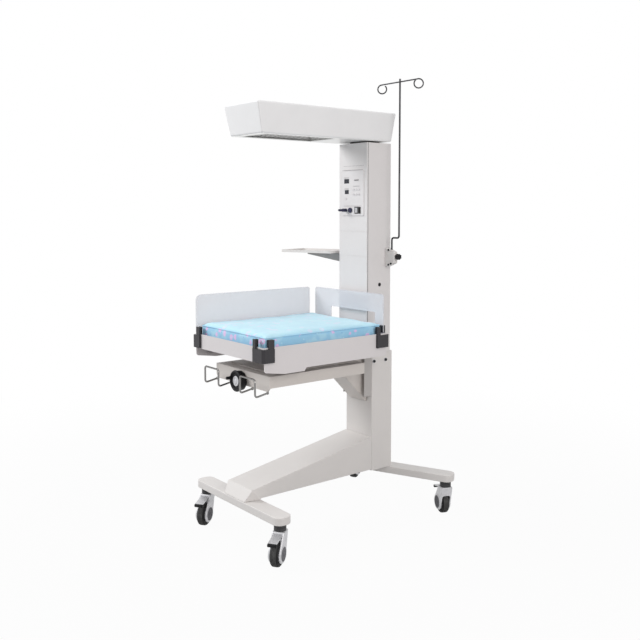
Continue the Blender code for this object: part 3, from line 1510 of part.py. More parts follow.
def make_mattress():
    """A crowned pad with rounded edges whose sides draw in between its corners."""
    low = Vector((-MATTRESS_HALF_WIDTH, MATTRESS_FRONT, TUB_FLOOR + SHEET + SEAT_GAP))
    high = Vector((MATTRESS_HALF_WIDTH, MATTRESS_BACK, MATTRESS_EDGE_TOP))
    middle, half = (low + high) / 2, (high - low) / 2
    bm = bmesh.new()
    bmesh.ops.create_cube(bm, size=2)
    bmesh.ops.subdivide_edges(bm, edges=bm.edges, cuts=MATTRESS_CELLS - 1, use_grid_fill=True)
    inner = half - Vector((1, 1, 1)) * MATTRESS_ROUND
    for vert in bm.verts:
        u, v, w = (math.sin(value * math.pi / 2) for value in vert.co)
        point = Vector((u * half.x, v * half.y, w * half.z))
        core = Vector([max(-limit, min(limit, value)) for value, limit in zip(point, inner)])
        away = point - core
        point = core + away.normalized() * MATTRESS_ROUND
        fullness = (1 - u * u) * (1 - v * v)
        sag = 1 - abs(w) ** 3
        point.x -= u * MATTRESS_DRAW_IN * (1 - v ** 4) * (1 - sag / 2)
        point.y -= v * MATTRESS_DRAW_IN * (1 - u ** 4) * (1 - sag / 2)
        if w > 0:
            point.z += MATTRESS_CROWN * w * fullness
        vert.co = point
    mattress = link_object("mattress", closed_mesh("mattress", bm), MATTRESS_FABRIC)
    mattress.location = middle
    return mattress


# Controls

def make_control_panel():
    """The console plate with its window pockets, its socket ring, its rocker cut-out and frame."""
    high = CONSOLE_SHOULDER + CONSOLE_RISE
    shoulder = CONSOLE_SHOULDER + CONSOLE_RISE * ARCH_SHARE
    middle = (PANEL_RIGHT + PANEL_LEFT) / 2
    corners = [
        (PANEL_LEFT, CONSOLE_BOTTOM),
        (PANEL_RIGHT, CONSOLE_BOTTOM),
        (PANEL_RIGHT, CONSOLE_SHOULDER),
        ((PANEL_RIGHT + middle) / 2, shoulder),
        (middle, high),
        ((PANEL_LEFT + middle) / 2, shoulder),
        (PANEL_LEFT, CONSOLE_SHOULDER),
    ]
    corner = CONSOLE_CORNER
    outline = rounded(corners, [corner, corner, corner, 0, 0, 0, corner])
    back = HOUSING_FRONT - SEAT_GAP
    panel = plate("control_panel", [outline], CONSOLE_FACE, back, CONSOLE_FILM, "XZ")
    hole_x = ROCKER_WIDTH / 2 + ROCKER_END_GAP
    hole_z = ROCKER_HEIGHT / 2 + ROCKER_SIDE_GAP
    frame_x, frame_z = hole_x + ROCKER_FRAME, hole_z + ROCKER_FRAME
    inside = CONSOLE_FACE + CONSOLE_THICKNESS / 2
    frame = block(
        "rocker_frame",
        (ROCKER_X - frame_x, CONSOLE_FACE - ROCKER_FRAME_HEIGHT, SOCKET_LEVEL - frame_z),
        (ROCKER_X + frame_x, inside, SOCKET_LEVEL + frame_z),
        CONSOLE_FILM,
    )
    ring = rod(
        "socket_ring",
        (PLUG_X, CONSOLE_FACE - SOCKET_RING_HEIGHT, SOCKET_LEVEL),
        (PLUG_X, inside, SOCKET_LEVEL),
        SOCKET_RING_RADIUS,
        CONSOLE_FILM,
    )
    join(panel, frame, ring)
    ahead = CONSOLE_FACE - ROCKER_FRAME_HEIGHT - OVERRUN
    cut_out = block(
        "rocker_cut_out",
        (ROCKER_X - hole_x, ahead, SOCKET_LEVEL - hole_z),
        (ROCKER_X + hole_x, back + OVERRUN, SOCKET_LEVEL + hole_z),
        CONSOLE_FILM,
    )
    plug_hole = rod(
        "plug_hole",
        (PLUG_X, ahead, SOCKET_LEVEL),
        (PLUG_X, back + OVERRUN, SOCKET_LEVEL),
        PLUG_PIN_RADIUS + SEAT_GAP,
        CONSOLE_FILM,
        SMALL_STEPS,
    )
    pockets = [
        window_block("window_pocket", window, -OVERRUN, 0.0)
        for window in (WINDOW_UPPER, WINDOW_LOWER, BAR_DISPLAY)
    ]
    return cut(panel, cut_out, plug_hole, *pockets)


def window_block(name, window, front, inset):
    """A block in a window's place, from the given offset in front of the console's face to its depth."""
    left, right, bottom, top = window
    return block(
        name,
        (left + inset, CONSOLE_FACE + front, bottom + inset),
        (right - inset, CONSOLE_FACE + WINDOW_DEPTH - (SEAT_GAP if inset else 0), top - inset),
        DISPLAY_BLACK,
    )


def make_socket_cap():
    face = CONSOLE_FACE - SEAT_GAP
    profile = [
        (0, CAP_HEIGHT),
        (CAP_RADIUS * CAP_FACE_SHARE, CAP_HEIGHT),
        (CAP_RADIUS, CAP_HEIGHT * CAP_SHOULDER_SHARE),
        (CAP_RADIUS, 0),
        (0, 0),
    ]
    cap = turned("socket_cap", profile, NAVY_PLASTIC)
    cap.rotation_euler = (math.pi / 2, 0, 0)
    cap.location = (CAP_X, face, SOCKET_LEVEL)
    return cap


def make_sensor_plug():
    face = CONSOLE_FACE - SOCKET_RING_HEIGHT - SEAT_GAP
    profile = [
        (0, PLUG_LENGTH),
        (PLUG_RADIUS * PLUG_NOSE_SHARE, PLUG_LENGTH),
        (PLUG_RADIUS, PLUG_LENGTH - PLUG_RADIUS / 2),
        (PLUG_RADIUS, PLUG_GRIP_LENGTH + PLUG_GRIP_TAPER),
        (PLUG_GRIP_RADIUS, PLUG_GRIP_LENGTH),
        (PLUG_GRIP_RADIUS, 0),
        (PLUG_PIN_RADIUS, 0),
        (PLUG_PIN_RADIUS, -PLUG_PIN_LENGTH + SEAT_GAP * 2),
        (0, -PLUG_PIN_LENGTH + SEAT_GAP * 2),
    ]
    plug = turned("sensor_plug", profile, NAVY_PLASTIC, SMALL_STEPS)
    plug.rotation_euler = (math.pi / 2, 0, 0)
    plug.location = (PLUG_X, face, SOCKET_LEVEL)
    return plug


def make_rocker():
    half = ROCKER_WIDTH / 2
    front = CONSOLE_FACE - ROCKER_FRAME_HEIGHT
    pivot = CONSOLE_FACE + ROCKER_PIVOT_DEPTH
    back = pivot + ROCKER_BODY_DEPTH - ROCKER_SIDE_GAP * 2
    narrow = half - ROCKER_BODY_DEPTH * math.tan(math.radians(ROCKER_THROW_DEG)) * 2
    outline = [
        (ROCKER_X - half, front - ROCKER_END_PROUD),
        (ROCKER_X, front - ROCKER_MIDDLE_PROUD),
        (ROCKER_X + half, front - ROCKER_END_PROUD),
        (ROCKER_X + half, pivot - ROCKER_PIVOT_DEPTH / 2),
        (ROCKER_X + narrow / 2, back),
        (ROCKER_X - narrow / 2, back),
        (ROCKER_X - half, pivot - ROCKER_PIVOT_DEPTH / 2),
    ]
    level = SOCKET_LEVEL
    return plate(
        "rocker_switch",
        [outline],
        level - ROCKER_HEIGHT / 2,
        level + ROCKER_HEIGHT / 2,
        DARK_PLASTIC,
    )


# Hood

def hood_block(name, inset, bottom, edge, material):
    """The hood's tapered form, or the hollow inside it when it is inset by a wall."""
    slope = (bottom - HOOD_BOTTOM) / (HOOD_TOP - HOOD_BOTTOM)
    foot_half = HOOD_FOOT_HALF_WIDTH + slope * (HOOD_TOP_HALF_WIDTH - HOOD_FOOT_HALF_WIDTH)
    foot_front = HOOD_FOOT_FRONT + slope * (HOOD_TOP_FRONT - HOOD_FOOT_FRONT)
    foot_back = HOOD_FOOT_BACK + slope * (HOOD_TOP_BACK - HOOD_FOOT_BACK)
    bm = bmesh.new()
    bmesh.ops.create_cube(bm, size=1)
    for vert in bm.verts:
        is_top, is_right, is_back = vert.co.z > 0, vert.co.x > 0, vert.co.y > 0
        half = (HOOD_TOP_HALF_WIDTH if is_top else foot_half) - inset
        front = (HOOD_TOP_FRONT if is_top else foot_front) + inset
        back = (HOOD_TOP_BACK if is_top else foot_back) - inset
        level = HOOD_TOP - inset if is_top else bottom
        vert.co = (half if is_right else -half, back if is_back else front, level)
    above_foot = [line for line in bm.edges if max(vert.co.z for vert in line.verts) > bottom]
    bmesh.ops.bevel(
        bm, geom=above_foot, offset=edge, segments=3, profile=0.5, affect="EDGES", material=-1
    )
    return link_object(name, closed_mesh(name, bm), material)


def make_hood_shell():
    shell = hood_block("hood_shell", 0, HOOD_BOTTOM, HOOD_EDGE, WHITE_PAINT)
    hollow_foot = HOOD_BOTTOM - OVERRUN
    hollow = hood_block("hood_hollow", HOOD_WALL, hollow_foot, HOOD_EDGE - HOOD_WALL, WHITE_PAINT)
    return cut(shell, hollow)


def make_turntable():
    """The disc on the column's head with its flanged pivot pin, whose head keeps the hood down."""
    low = HOUSING_TOP + SEAT_GAP
    top = HOOD_BOTTOM - SEAT_GAP
    head = HOOD_BOTTOM + REFLECTOR_PLATE + SEAT_GAP
    profile = [
        (0, head + TURNTABLE_PIN_HEAD),
        (TURNTABLE_HEAD_RADIUS, head + TURNTABLE_PIN_HEAD),
        (TURNTABLE_HEAD_RADIUS, head),
        (TURNTABLE_PIN_RADIUS, head),
        (TURNTABLE_PIN_RADIUS, top),
        (TURNTABLE_RADIUS, top),
        (TURNTABLE_RADIUS, low),
        (0, low),
    ]
    table = turned("hood_turntable", profile, DARK_PLASTIC, WHEEL_STEPS)
    table.location = (0, HOOD_AXIS_Y, 0)
    return table


def trough_height(across):
    """Height of the reflector's curve above its mouth, a parabola across the trough."""
    return TROUGH_DEPTH * (1 - (across / TROUGH_HALF_WIDTH) ** 2)


def make_reflector():
    """The plate that closes the hood's underside, with the heater's parabolic trough in it."""
    gap = HOOD_WALL + REFLECTOR_EDGE_GAP
    half = HOOD_FOOT_HALF_WIDTH - gap
    outline = rounded(
        rectangle(-half, half, HOOD_FOOT_FRONT + gap, HOOD_FOOT_BACK - gap), HOOD_EDGE - HOOD_WALL
    )
    pivot_hole = circle((0, HOOD_AXIS_Y), TURNTABLE_PIN_RADIUS + SEAT_GAP, WHEEL_STEPS)
    base = plate(
        "hood_reflector", [outline, pivot_hole], PLATE_BOTTOM, TROUGH_MOUTH, REFLECTOR_METAL
    )
    body = block(
        "reflector_box",
        (-REFLECTOR_BOX_HALF_WIDTH, REFLECTOR_BOX_FRONT, PLATE_BOTTOM + REFLECTOR_PLATE / 2),
        (REFLECTOR_BOX_HALF_WIDTH, REFLECTOR_BOX_BACK, PLATE_BOTTOM + REFLECTOR_BOX_HEIGHT),
        REFLECTOR_METAL,
    )
    half = TROUGH_HALF_WIDTH
    curve = [half - 2 * half * step / TROUGH_STEPS for step in range(TROUGH_STEPS + 1)]
    section = [(-half, PLATE_BOTTOM - OVERRUN), (half, PLATE_BOTTOM - OVERRUN)]
    section += [(x, TROUGH_MOUTH + trough_height(x)) for x in curve]
    trough = plate(
        "trough",
        [section],
        REFLECTOR_BOX_FRONT + TROUGH_END_WALL,
        REFLECTOR_BOX_BACK - TROUGH_END_WALL,
        REFLECTOR_METAL,
        "XZ",
    )
    join(base, body)
    return cut(base, trough)


def make_heater():
    """A hairpin of quartz tube that stands in the trough, its two ends in the rear wall's face."""
    back = REFLECTOR_BOX_BACK - TROUGH_END_WALL - SEAT_GAP
    turn = REFLECTOR_BOX_FRONT + TROUGH_END_WALL + HEATER_TURN_GAP + HEATER_SPREAD
    level = PLATE_BOTTOM + HEATER_LEVEL
    bend = [
        (HEATER_SPREAD * math.cos(t), turn - HEATER_SPREAD * math.sin(t), level)
        for t in (math.pi * step / 10 for step in range(11))
    ]
    path = [(HEATER_SPREAD, back, level), *bend, (-HEATER_SPREAD, back, level)]
    return tube("heater_element", path, HEATER_RADIUS, QUARTZ)


def make_guard():
    """A flat guard of bars across the trough's mouth, inside a rim."""
    half = TROUGH_HALF_WIDTH - SEAT_GAP
    front = REFLECTOR_BOX_FRONT + TROUGH_END_WALL + SEAT_GAP
    back = REFLECTOR_BOX_BACK - TROUGH_END_WALL - SEAT_GAP
    inner_left, inner_right = -half + GUARD_RIM, half - GUARD_RIM
    inner_front, inner_back = front + GUARD_RIM, back - GUARD_RIM
    count = int((inner_back - inner_front) / GUARD_GAP)
    pitch = (inner_back - inner_front + GUARD_BAR) / count
    outlines = [rectangle(-half, half, front, back)]
    for index in range(count):
        start = inner_front + index * pitch
        end = start + pitch - GUARD_BAR
        outlines.append(rectangle(inner_left, -GUARD_BAR / 2, start, end))
        outlines.append(rectangle(GUARD_BAR / 2, inner_right, start, end))
    low = PLATE_BOTTOM + GUARD_RECESS
    return plate("guard_grille", outlines, low, low + GUARD_THICKNESS, CHROME)


# Instrument tray

def make_tray_arm():
    """A tapered bar welded to a barrel that turns between the housing's lugs."""
    low, top = ARM_ROOT_BOTTOM, ARM_ROOT_TOP
    barrel = turned(
        "tray_arm",
        [
            (0, top + ARM_PIN_LENGTH),
            (ARM_PIN_RADIUS, top + ARM_PIN_LENGTH),
            (ARM_PIN_RADIUS, top),
            (ARM_BARREL_RADIUS, top),
            (ARM_BARREL_RADIUS, low),
            (ARM_PIN_RADIUS, low),
            (ARM_PIN_RADIUS, low - ARM_PIN_LENGTH),
            (0, low - ARM_PIN_LENGTH),
        ],
        CHANNEL_PAINT,
        SMALL_STEPS,
    )
    under_tray = TRAY_BASE - SEAT_GAP
    outline = [
        (ARM_BARREL_RADIUS / 2, low),
        (ARM_LENGTH, under_tray - ARM_TIP_HEIGHT),
        (ARM_LENGTH, under_tray),
        (ARM_BARREL_RADIUS / 2, under_tray),
    ]
    half = ARM_THICKNESS / 2
    bar = plate("arm_bar", [outline], -half, half, CHANNEL_PAINT, "XZ")
    for piece in (barrel, bar):
        piece.location = (TRAY_PIVOT_X, TRAY_PIVOT_Y, piece.location.z)
    heading = math.radians(TRAY_HEADING_DEG)
    bar.rotation_euler = (math.pi / 2, 0, heading)
    return join(barrel, bar)


def make_tray():
    half = TRAY_HALF_WIDTH
    outline = rounded(rectangle(TRAY_START, TRAY_START + TRAY_LENGTH, -half, half), TRAY_CORNER)
    inner = rounded(
        rectangle(TRAY_START + SHEET, TRAY_START + TRAY_LENGTH - SHEET, -half + SHEET, half - SHEET),
        TRAY_CORNER - SHEET,
    )
    tray = plate("instrument_tray", [outline], TRAY_BASE, TRAY_BASE + TRAY_RIM, BASE_PAINT)
    hollow = plate("tray_hollow", [inner], TRAY_BASE + SHEET, TRAY_BASE + TRAY_RIM + OVERRUN, BASE_PAINT)
    for piece in (tray, hollow):
        piece.location = (TRAY_PIVOT_X, TRAY_PIVOT_Y, piece.location.z)
        piece.rotation_euler = (0, 0, math.radians(TRAY_HEADING_DEG))
    return cut(tray, hollow)


# Drip pole

def make_clamp_block():
    """A plate that stands off the housing's side and narrows to the edge that carries the knob."""
    left = HOUSING_HALF_WIDTH + SEAT_GAP
    root = left + CLAMP_ROOT
    outline = [
        (left, CLAMP_BOTTOM),
        (root, CLAMP_BOTTOM),
        (CLAMP_OUT, CLAMP_BOTTOM + CLAMP_TAPER),
        (CLAMP_OUT, CLAMP_TOP - CLAMP_TAPER),
        (root, CLAMP_TOP),
        (left, CLAMP_TOP),
    ]
    front, back = POLE_Y - CLAMP_HALF_THICKNESS, POLE_Y + CLAMP_HALF_THICKNESS
    body = plate("pole_clamp", [outline], front, back, BASE_PAINT, "XZ", CLAMP_EDGE, 1)
    bore = rod(
        "pole_bore",
        (POLE_X, POLE_Y, CLAMP_BOTTOM + CLAMP_BORE_FLOOR),
        (POLE_X, POLE_Y, CLAMP_TOP + OVERRUN),
        POLE_RADIUS + SEAT_GAP,
        BASE_PAINT,
        SMALL_STEPS,
    )
    thread = rod(
        "knob_bore",
        (POLE_X, POLE_Y, KNOB_LEVEL),
        (CLAMP_OUT + OVERRUN, POLE_Y, KNOB_LEVEL),
        KNOB_STEM_RADIUS + SEAT_GAP,
        BASE_PAINT,
        SMALL_STEPS,
    )
    return cut(body, bore, thread)


def make_clamp_knob():
    """A lobed knob on a stem that bears on the pole."""
    lobes = []
    ring = KNOB_RADIUS - KNOB_LOBE_RADIUS
    for index in range(KNOB_LOBES):
        turn = 360.0 * index / KNOB_LOBES
        angle = math.radians(turn)
        middle = (ring * math.cos(angle), ring * math.sin(angle))
        lobes += circle(middle, KNOB_LOBE_RADIUS, 4, turn - 70.0, 140.0)
    knob = plate("clamp_knob", [lobes], 0, KNOB_LENGTH, DARK_PLASTIC)
    inner = POLE_X + POLE_RADIUS + SEAT_GAP + RUNNING_GAP
    start = CLAMP_OUT + SEAT_GAP + KNOB_NECK
    stem = rod(
        "stem", (0, 0, inner - start), (0, 0, KNOB_LENGTH / 2), KNOB_STEM_RADIUS, DARK_PLASTIC, SMALL_STEPS
    )
    knob.location = (0, 0, KNOB_LENGTH / 2)
    join(knob, stem)
    mesh = take_mesh(knob)
    placed = link_object("clamp_knob", mesh, DARK_PLASTIC)
    placed.rotation_euler = (0, math.pi / 2, 0)
    placed.location = (start, POLE_Y, KNOB_LEVEL)
    return placed


def ring_path(side):
    """Points of a hook ring that hangs below the bar's end, its plane turned about Z."""
    turn = math.radians(RING_TURN_DEG)
    out = Vector((math.cos(turn), math.sin(turn), 0)) * side
    down = Vector((0, 0, -1))
    start = Vector((POLE_X + POLE_CRANK + side * HOOK_BAR_HALF_LENGTH, POLE_Y, HOOK_BAR_LEVEL))
    middle = start + down * RING_RADIUS
    sweep = math.radians(360.0 - RING_OPEN_DEG)
    points = []
    for step in range(1, RING_STEPS + 1):
        angle = sweep * step / RING_STEPS
        across, drop = RING_RADIUS * math.sin(angle), RING_RADIUS * math.cos(angle)
        points.append(middle + out * across - down * drop)
    return [start, *points]


def make_pole():
    foot = CLAMP_BOTTOM + CLAMP_BORE_FLOOR + SEAT_GAP
    upper_x = POLE_X + POLE_CRANK
    path = [
        (POLE_X, POLE_Y, foot),
        (POLE_X, POLE_Y, POLE_CRANK_LEVEL),
        (upper_x, POLE_Y, POLE_CRANK_LEVEL),
        (upper_x, POLE_Y, POLE_TOP),
    ]
    pole = tube("drip_pole", rounded(path, POLE_BEND, closed=False), POLE_RADIUS, CHROME)
    bar_path = ring_path(-1)[::-1] + ring_path(1)
    bar = tube("hook_bar", bar_path, HOOK_BAR_RADIUS, CHROME)
    return join(pole, bar)


# Assembly

def joint_at(name, place):
    return make_empty("joint_" + name, Vector(place), ASSEMBLY)


make_leg_bar("front_crossbar", FRONT_TRACK, -HALF_WHEELBASE, 0.0)
make_leg_bar("rear_leg_bar", REAR_TRACK, HALF_WHEELBASE, REAR_SWEEP_DEG)
make_centre_beam()
make_casters()
make_lower_column()
make_upper_housing()
make_rear_cover()
make_mount_channel()
make_under_frame()
make_gusset()
make_tilt_shaft()
make_wire_hook("wire_hook_right", 1)
make_wire_hook("wire_hook_left", -1)
carry(joint_at("handwheel", (0, HANDWHEEL_Y, SCREW_Z)), make_lead_screw(), make_handwheel())
carry(joint_at("lift_nut", (0, TILT_SHAFT_Y, SCREW_Z)), make_lift_nut())
bed_joint = joint_at("bed_tilt", (0, TILT_SHAFT_Y, TILT_SHAFT_Z))
carry(bed_joint, make_tilt_lever(), make_bed_tub(), *make_clips(), make_mattress())
carry(joint_at("left_panel", (-PANEL_LINE_X, 0, PANEL_FOOT)), make_left_panel())
carry(joint_at("head_panel", (0, PANEL_LINE_BACK, PANEL_FOOT)), make_head_panel())
make_control_panel()
window_block("display_upper", WINDOW_UPPER, SEAT_GAP, SEAT_GAP)
window_block("display_lower", WINDOW_LOWER, SEAT_GAP, SEAT_GAP)
make_socket_cap()
carry(joint_at("sensor_plug", (PLUG_X, CONSOLE_FACE, SOCKET_LEVEL)), make_sensor_plug())
carry(
    joint_at("rocker_switch", (ROCKER_X, CONSOLE_FACE + ROCKER_PIVOT_DEPTH, SOCKET_LEVEL)),
    make_rocker(),
)
make_turntable()
carry(
    joint_at("hood_swivel", (0, HOOD_AXIS_Y, HOOD_BOTTOM)),
    make_hood_shell(),
    make_reflector(),
    make_heater(),
    make_guard(),
)
carry(joint_at("tray_swing", (TRAY_PIVOT_X, TRAY_PIVOT_Y, TRAY_BASE)), make_tray_arm(), make_tray())
make_clamp_block()
carry(joint_at("clamp_knob", (CLAMP_OUT, POLE_Y, KNOB_LEVEL)), make_clamp_knob())
carry(joint_at("pole_turn", (POLE_X, POLE_Y, CLAMP_BOTTOM)), make_pole())
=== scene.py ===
"""Finishes, mattress and small fittings of an infant radiant warmer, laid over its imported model."""

import json
import math

import bmesh
import bpy
from bpy.props import FloatProperty, FloatVectorProperty, IntProperty, PointerProperty
from mathutils import Matrix, Vector, noise
from mathutils.bvhtree import BVHTree


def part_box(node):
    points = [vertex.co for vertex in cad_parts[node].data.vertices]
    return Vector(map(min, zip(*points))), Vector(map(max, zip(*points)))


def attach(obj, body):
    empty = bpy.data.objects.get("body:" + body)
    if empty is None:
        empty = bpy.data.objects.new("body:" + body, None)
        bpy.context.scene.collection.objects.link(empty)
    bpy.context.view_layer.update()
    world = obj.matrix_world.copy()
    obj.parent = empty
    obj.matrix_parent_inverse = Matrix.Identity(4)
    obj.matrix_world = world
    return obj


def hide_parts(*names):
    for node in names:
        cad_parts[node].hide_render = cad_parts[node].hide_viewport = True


bl_info = {
    "name": "Infant Radiant Warmer",
    "version": (1, 0, 0),
    "blender": (4, 5, 0),
    "location": "View3D > Sidebar > Warmer",
    "description": "Finishes, mattress and fittings of an infant radiant warmer",
    "category": "Object",
}

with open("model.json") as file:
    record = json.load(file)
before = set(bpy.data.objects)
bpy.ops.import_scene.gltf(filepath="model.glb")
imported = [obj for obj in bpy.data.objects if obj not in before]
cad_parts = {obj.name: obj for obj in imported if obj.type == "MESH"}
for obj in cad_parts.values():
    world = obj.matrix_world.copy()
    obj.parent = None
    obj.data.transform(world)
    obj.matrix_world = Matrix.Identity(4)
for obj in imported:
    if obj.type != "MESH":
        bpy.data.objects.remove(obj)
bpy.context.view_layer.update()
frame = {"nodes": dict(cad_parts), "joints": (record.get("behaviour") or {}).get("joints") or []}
NODES = frame["nodes"]
JOINTS = {joint["name"]: joint for joint in frame["joints"]}
CORNERS = ("front_left", "front_right", "rear_left", "rear_right")
COLUMN_LOW, COLUMN_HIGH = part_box("lower_column")
HOUSING_LOW, HOUSING_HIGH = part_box("upper_housing")
CONSOLE_LOW, CONSOLE_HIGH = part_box("control_panel")
MIDDLE_X = (COLUMN_LOW.x + COLUMN_HIGH.x) / 2
FRONT = (0, -1, 0)
WHITE = (1.0, 1.0, 1.0, 1.0)


# Kinds of setting

def number(name, description, default, **kind):
    return FloatProperty(name=name, description=description, default=default, **kind)


def length(name, description, default):
    return number(name, description, default, subtype="DISTANCE")


def power(name, description, default):
    return number(name, description, default, unit="POWER")


def vector(name, description, default, **kind):
    return FloatVectorProperty(name=name, description=description, default=default, **kind)


def paint(name, description, default):
    return vector(name, description, default, subtype="COLOR")


# Shader building

# Sockets of a Mix node that is set to mix colours
MIX_AMOUNT, MIX_FIRST, MIX_SECOND, MIX_RESULT = 0, 6, 7, 2


class Signal:
    """A number that flows through a node tree: arithmetic on it adds Math nodes."""

    def __init__(self, nodes, socket):
        self.nodes = nodes
        self.socket = socket

    def _math(self, operation, *values):
        node = self.nodes.node("ShaderNodeMath", {"operation": operation}, dict(enumerate(values)))
        return Signal(self.nodes, node.outputs[0])

    def __add__(self, other):
        return self._math("ADD", self, other)

    __radd__ = __add__

    def __mul__(self, other):
        return self._math("MULTIPLY", self, other)

    __rmul__ = __mul__

    def __rsub__(self, other):
        return self._math("SUBTRACT", other, self)

    def __gt__(self, other):
        return self._math("GREATER_THAN", self, other)

    def ramp(self, low, high):
        """0 below low, 1 above high, and a smooth rise between them."""
        settings = {"interpolation_type": "SMOOTHSTEP"}
        inputs = {"Value": self, "From Min": low, "From Max": high}
        node = self.nodes.node("ShaderNodeMapRange", settings, inputs)
        return Signal(self.nodes, node.outputs["Result"])


class Nodes:
    """A node tree in the making."""

    def __init__(self, tree):
        self.tree = tree

    def node(self, kind, settings=None, inputs=None):
        """A new node of any kind, whose inputs are fed with values or sockets."""
        made = self.tree.nodes.new(kind)
        for name, value in (settings or {}).items():
            setattr(made, name, value)
        for name, value in (inputs or {}).items():
            self.connect(made.inputs[name], value)
        return made

    def connect(self, socket, value):
        source = value.socket if isinstance(value, Signal) else value
        if isinstance(source, bpy.types.NodeSocket):
            self.tree.links.new(source, socket)
        else:
            socket.default_value = source

    def seen(self):
        """1 for what is seen, also in a mirror or through glass, and 0 for what only lights."""
        rays = self.node("ShaderNodeLightPath").outputs
        kinds = ("Is Camera Ray", "Is Glossy Ray", "Is Transmission Ray")
        camera, glossy, transmission = (Signal(self, rays[kind]) for kind in kinds)
        return camera + glossy + transmission

    def show(self, output, amount, first, second):
        """Gives the output a shader that goes from the first to the second by the amount."""
        inputs = {0: amount, 1: first.outputs[0], 2: second.outputs[0]}
        mixed = self.node("ShaderNodeMixShader", None, inputs)
        self.connect(self.tree.nodes[output].inputs["Surface"], mixed.outputs[0])


class Finish(Nodes):
    """A material in the making, with its patterns on Object coordinates."""

    def __init__(self, name, colour, roughness, metallic=0.0, **fixed):
        self.material = bpy.data.materials.new(name)
        self.material.use_nodes = True
        super().__init__(self.material.node_tree)
        self.shader = self.tree.nodes["Principled BSDF"]
        self.colour = opaque(colour)
        self.feed(Base_Color=self.colour, Roughness=roughness, Metallic=metallic, **fixed)
        self.place = self.node("ShaderNodeTexCoord").outputs["Object"]

    def feed(self, **values):
        """Feeds the shader's inputs, named with an underscore for each space."""
        for name, value in values.items():
            self.connect(self.shader.inputs[name.replace("_", " ")], value)

    def noise(self, scale, detail, stretch=None):
        place = self.place
        if stretch:
            mapping = self.node("ShaderNodeMapping", None, {"Vector": place, "Scale": stretch})
            place = mapping.outputs["Vector"]
        inputs = {"Vector": place, "Scale": scale, "Detail": detail, "Roughness": 0.6}
        return Signal(self, self.node("ShaderNodeTexNoise", None, inputs).outputs[0])

    def cells(self, scale):
        """Distance to the nearest cell's point, and that cell's own random colour socket."""
        made = self.node("ShaderNodeTexVoronoi", None, {"Vector": self.place, "Scale": scale})
        return Signal(self, made.outputs["Distance"]), made.outputs["Color"]

    def axis(self, index):
        """The Object coordinate along x, y or z."""
        parts = self.node("ShaderNodeSeparateXYZ", None, {0: self.place})
        return Signal(self, parts.outputs[index])

    def channel(self, colour, index):
        """The red, green or blue of a colour socket."""
        parts = self.node("ShaderNodeSeparateColor", None, {0: colour})
        return Signal(self, parts.outputs[index])

    def mix(self, amount, first, second):
        """A colour that goes from the first to the second as the amount goes from 0 to 1."""
        inputs = {MIX_AMOUNT: amount, MIX_FIRST: opaque(first), MIX_SECOND: opaque(second)}
        return self.node("ShaderNodeMix", {"data_type": "RGBA"}, inputs).outputs[MIX_RESULT]

    def done(self, tone, roughness, relief, depth, strength):
        """The material, once its tone, roughness and relief are fed."""
        inputs = {"Height": relief, "Distance": depth, "Strength": strength}
        bump = self.node("ShaderNodeBump", None, inputs)
        self.feed(Base_Color=tone, Roughness=roughness, Normal=bump.outputs["Normal"])
        return self.material

    def soil(self, amount, colour, scale):
        """The finish's colour with a faint uneven tone of another."""
        return self.mix(self.noise(scale, 4.0).ramp(0.35, 0.75) * amount, self.colour, colour)


def opaque(colour):
    """A colour with its alpha, or the socket of one as it is."""
    return colour if isinstance(colour, bpy.types.NodeSocket) else (*colour[:3], 1.0)


def shade(colour, factor):
    return tuple(min(1.0, channel * factor) for channel in colour[:3])


def powder_coat(name, colour, roughness=0.42):
    """Baked powder paint: fine orange peel, and a slight drift in tone and gloss."""
    finish = Finish(name, colour, roughness, Coat_Weight=0.12, Coat_Roughness=0.25)
    tone = finish.soil(0.5, shade(colour, 0.94), 5.0)
    peel = finish.noise(420.0, 2.0) + 0.5 * finish.noise(1400.0, 1.0)
    return finish.done(tone, roughness - 0.05 + 0.12 * finish.noise(24.0, 4.0), peel, 0.00006, 0.5)


def moulded(name, colour, roughness=0.5, grain=900.0, depth=0.00008, gloss=0.45):
    """Moulded plastic with a spark-eroded grain and duller worn patches."""
    finish = Finish(name, colour, roughness, Specular_IOR_Level=gloss)
    tone = finish.soil(0.5, shade(colour, 1.35), 30.0)
    distance, _ = finish.cells(grain)
    return finish.done(tone, roughness - 0.08 + 0.18 * finish.noise(60.0, 4.0), distance, depth, 0.6)


def plated(name, colour, roughness=0.12):
    """Plated steel with smudges and hairline polishing marks."""
    finish = Finish(name, colour, roughness, 1.0)
    smudge = finish.noise(35.0, 5.0).ramp(0.45, 0.7)
    tone = finish.mix(smudge * 0.4, colour, shade(colour, 0.8))
    lines = finish.noise(160.0, 2.0, (1, 1, 9))
    return finish.done(tone, roughness + 0.16 * smudge, lines, 0.00003, 0.3)


def cast_alloy(name, colour, roughness=0.4):
    """Die-cast alloy, lacquered: soft mottling and a fine pitted skin."""
    finish = Finish(name, colour, roughness, 0.55, Coat_Weight=0.2, Coat_Roughness=0.3)
    tone = finish.soil(0.6, shade(colour, 0.78), 45.0)
    pits = finish.noise(700.0, 2.0)
    return finish.done(tone, roughness - 0.06 + 0.2 * finish.noise(120.0, 3.0), pits, 0.00008, 0.5)


def brushed(name, colour, roughness=0.3):
    """Rolled bright sheet with brush lines along x."""
    finish = Finish(name, colour, roughness, 0.9)
    lines = finish.noise(60.0, 3.0, (1, 40, 40))
    tone = finish.mix(lines * 0.5, colour, shade(colour, 0.86))
    return finish.done(tone, roughness - 0.08 + 0.2 * lines, lines, 0.00004, 0.4)


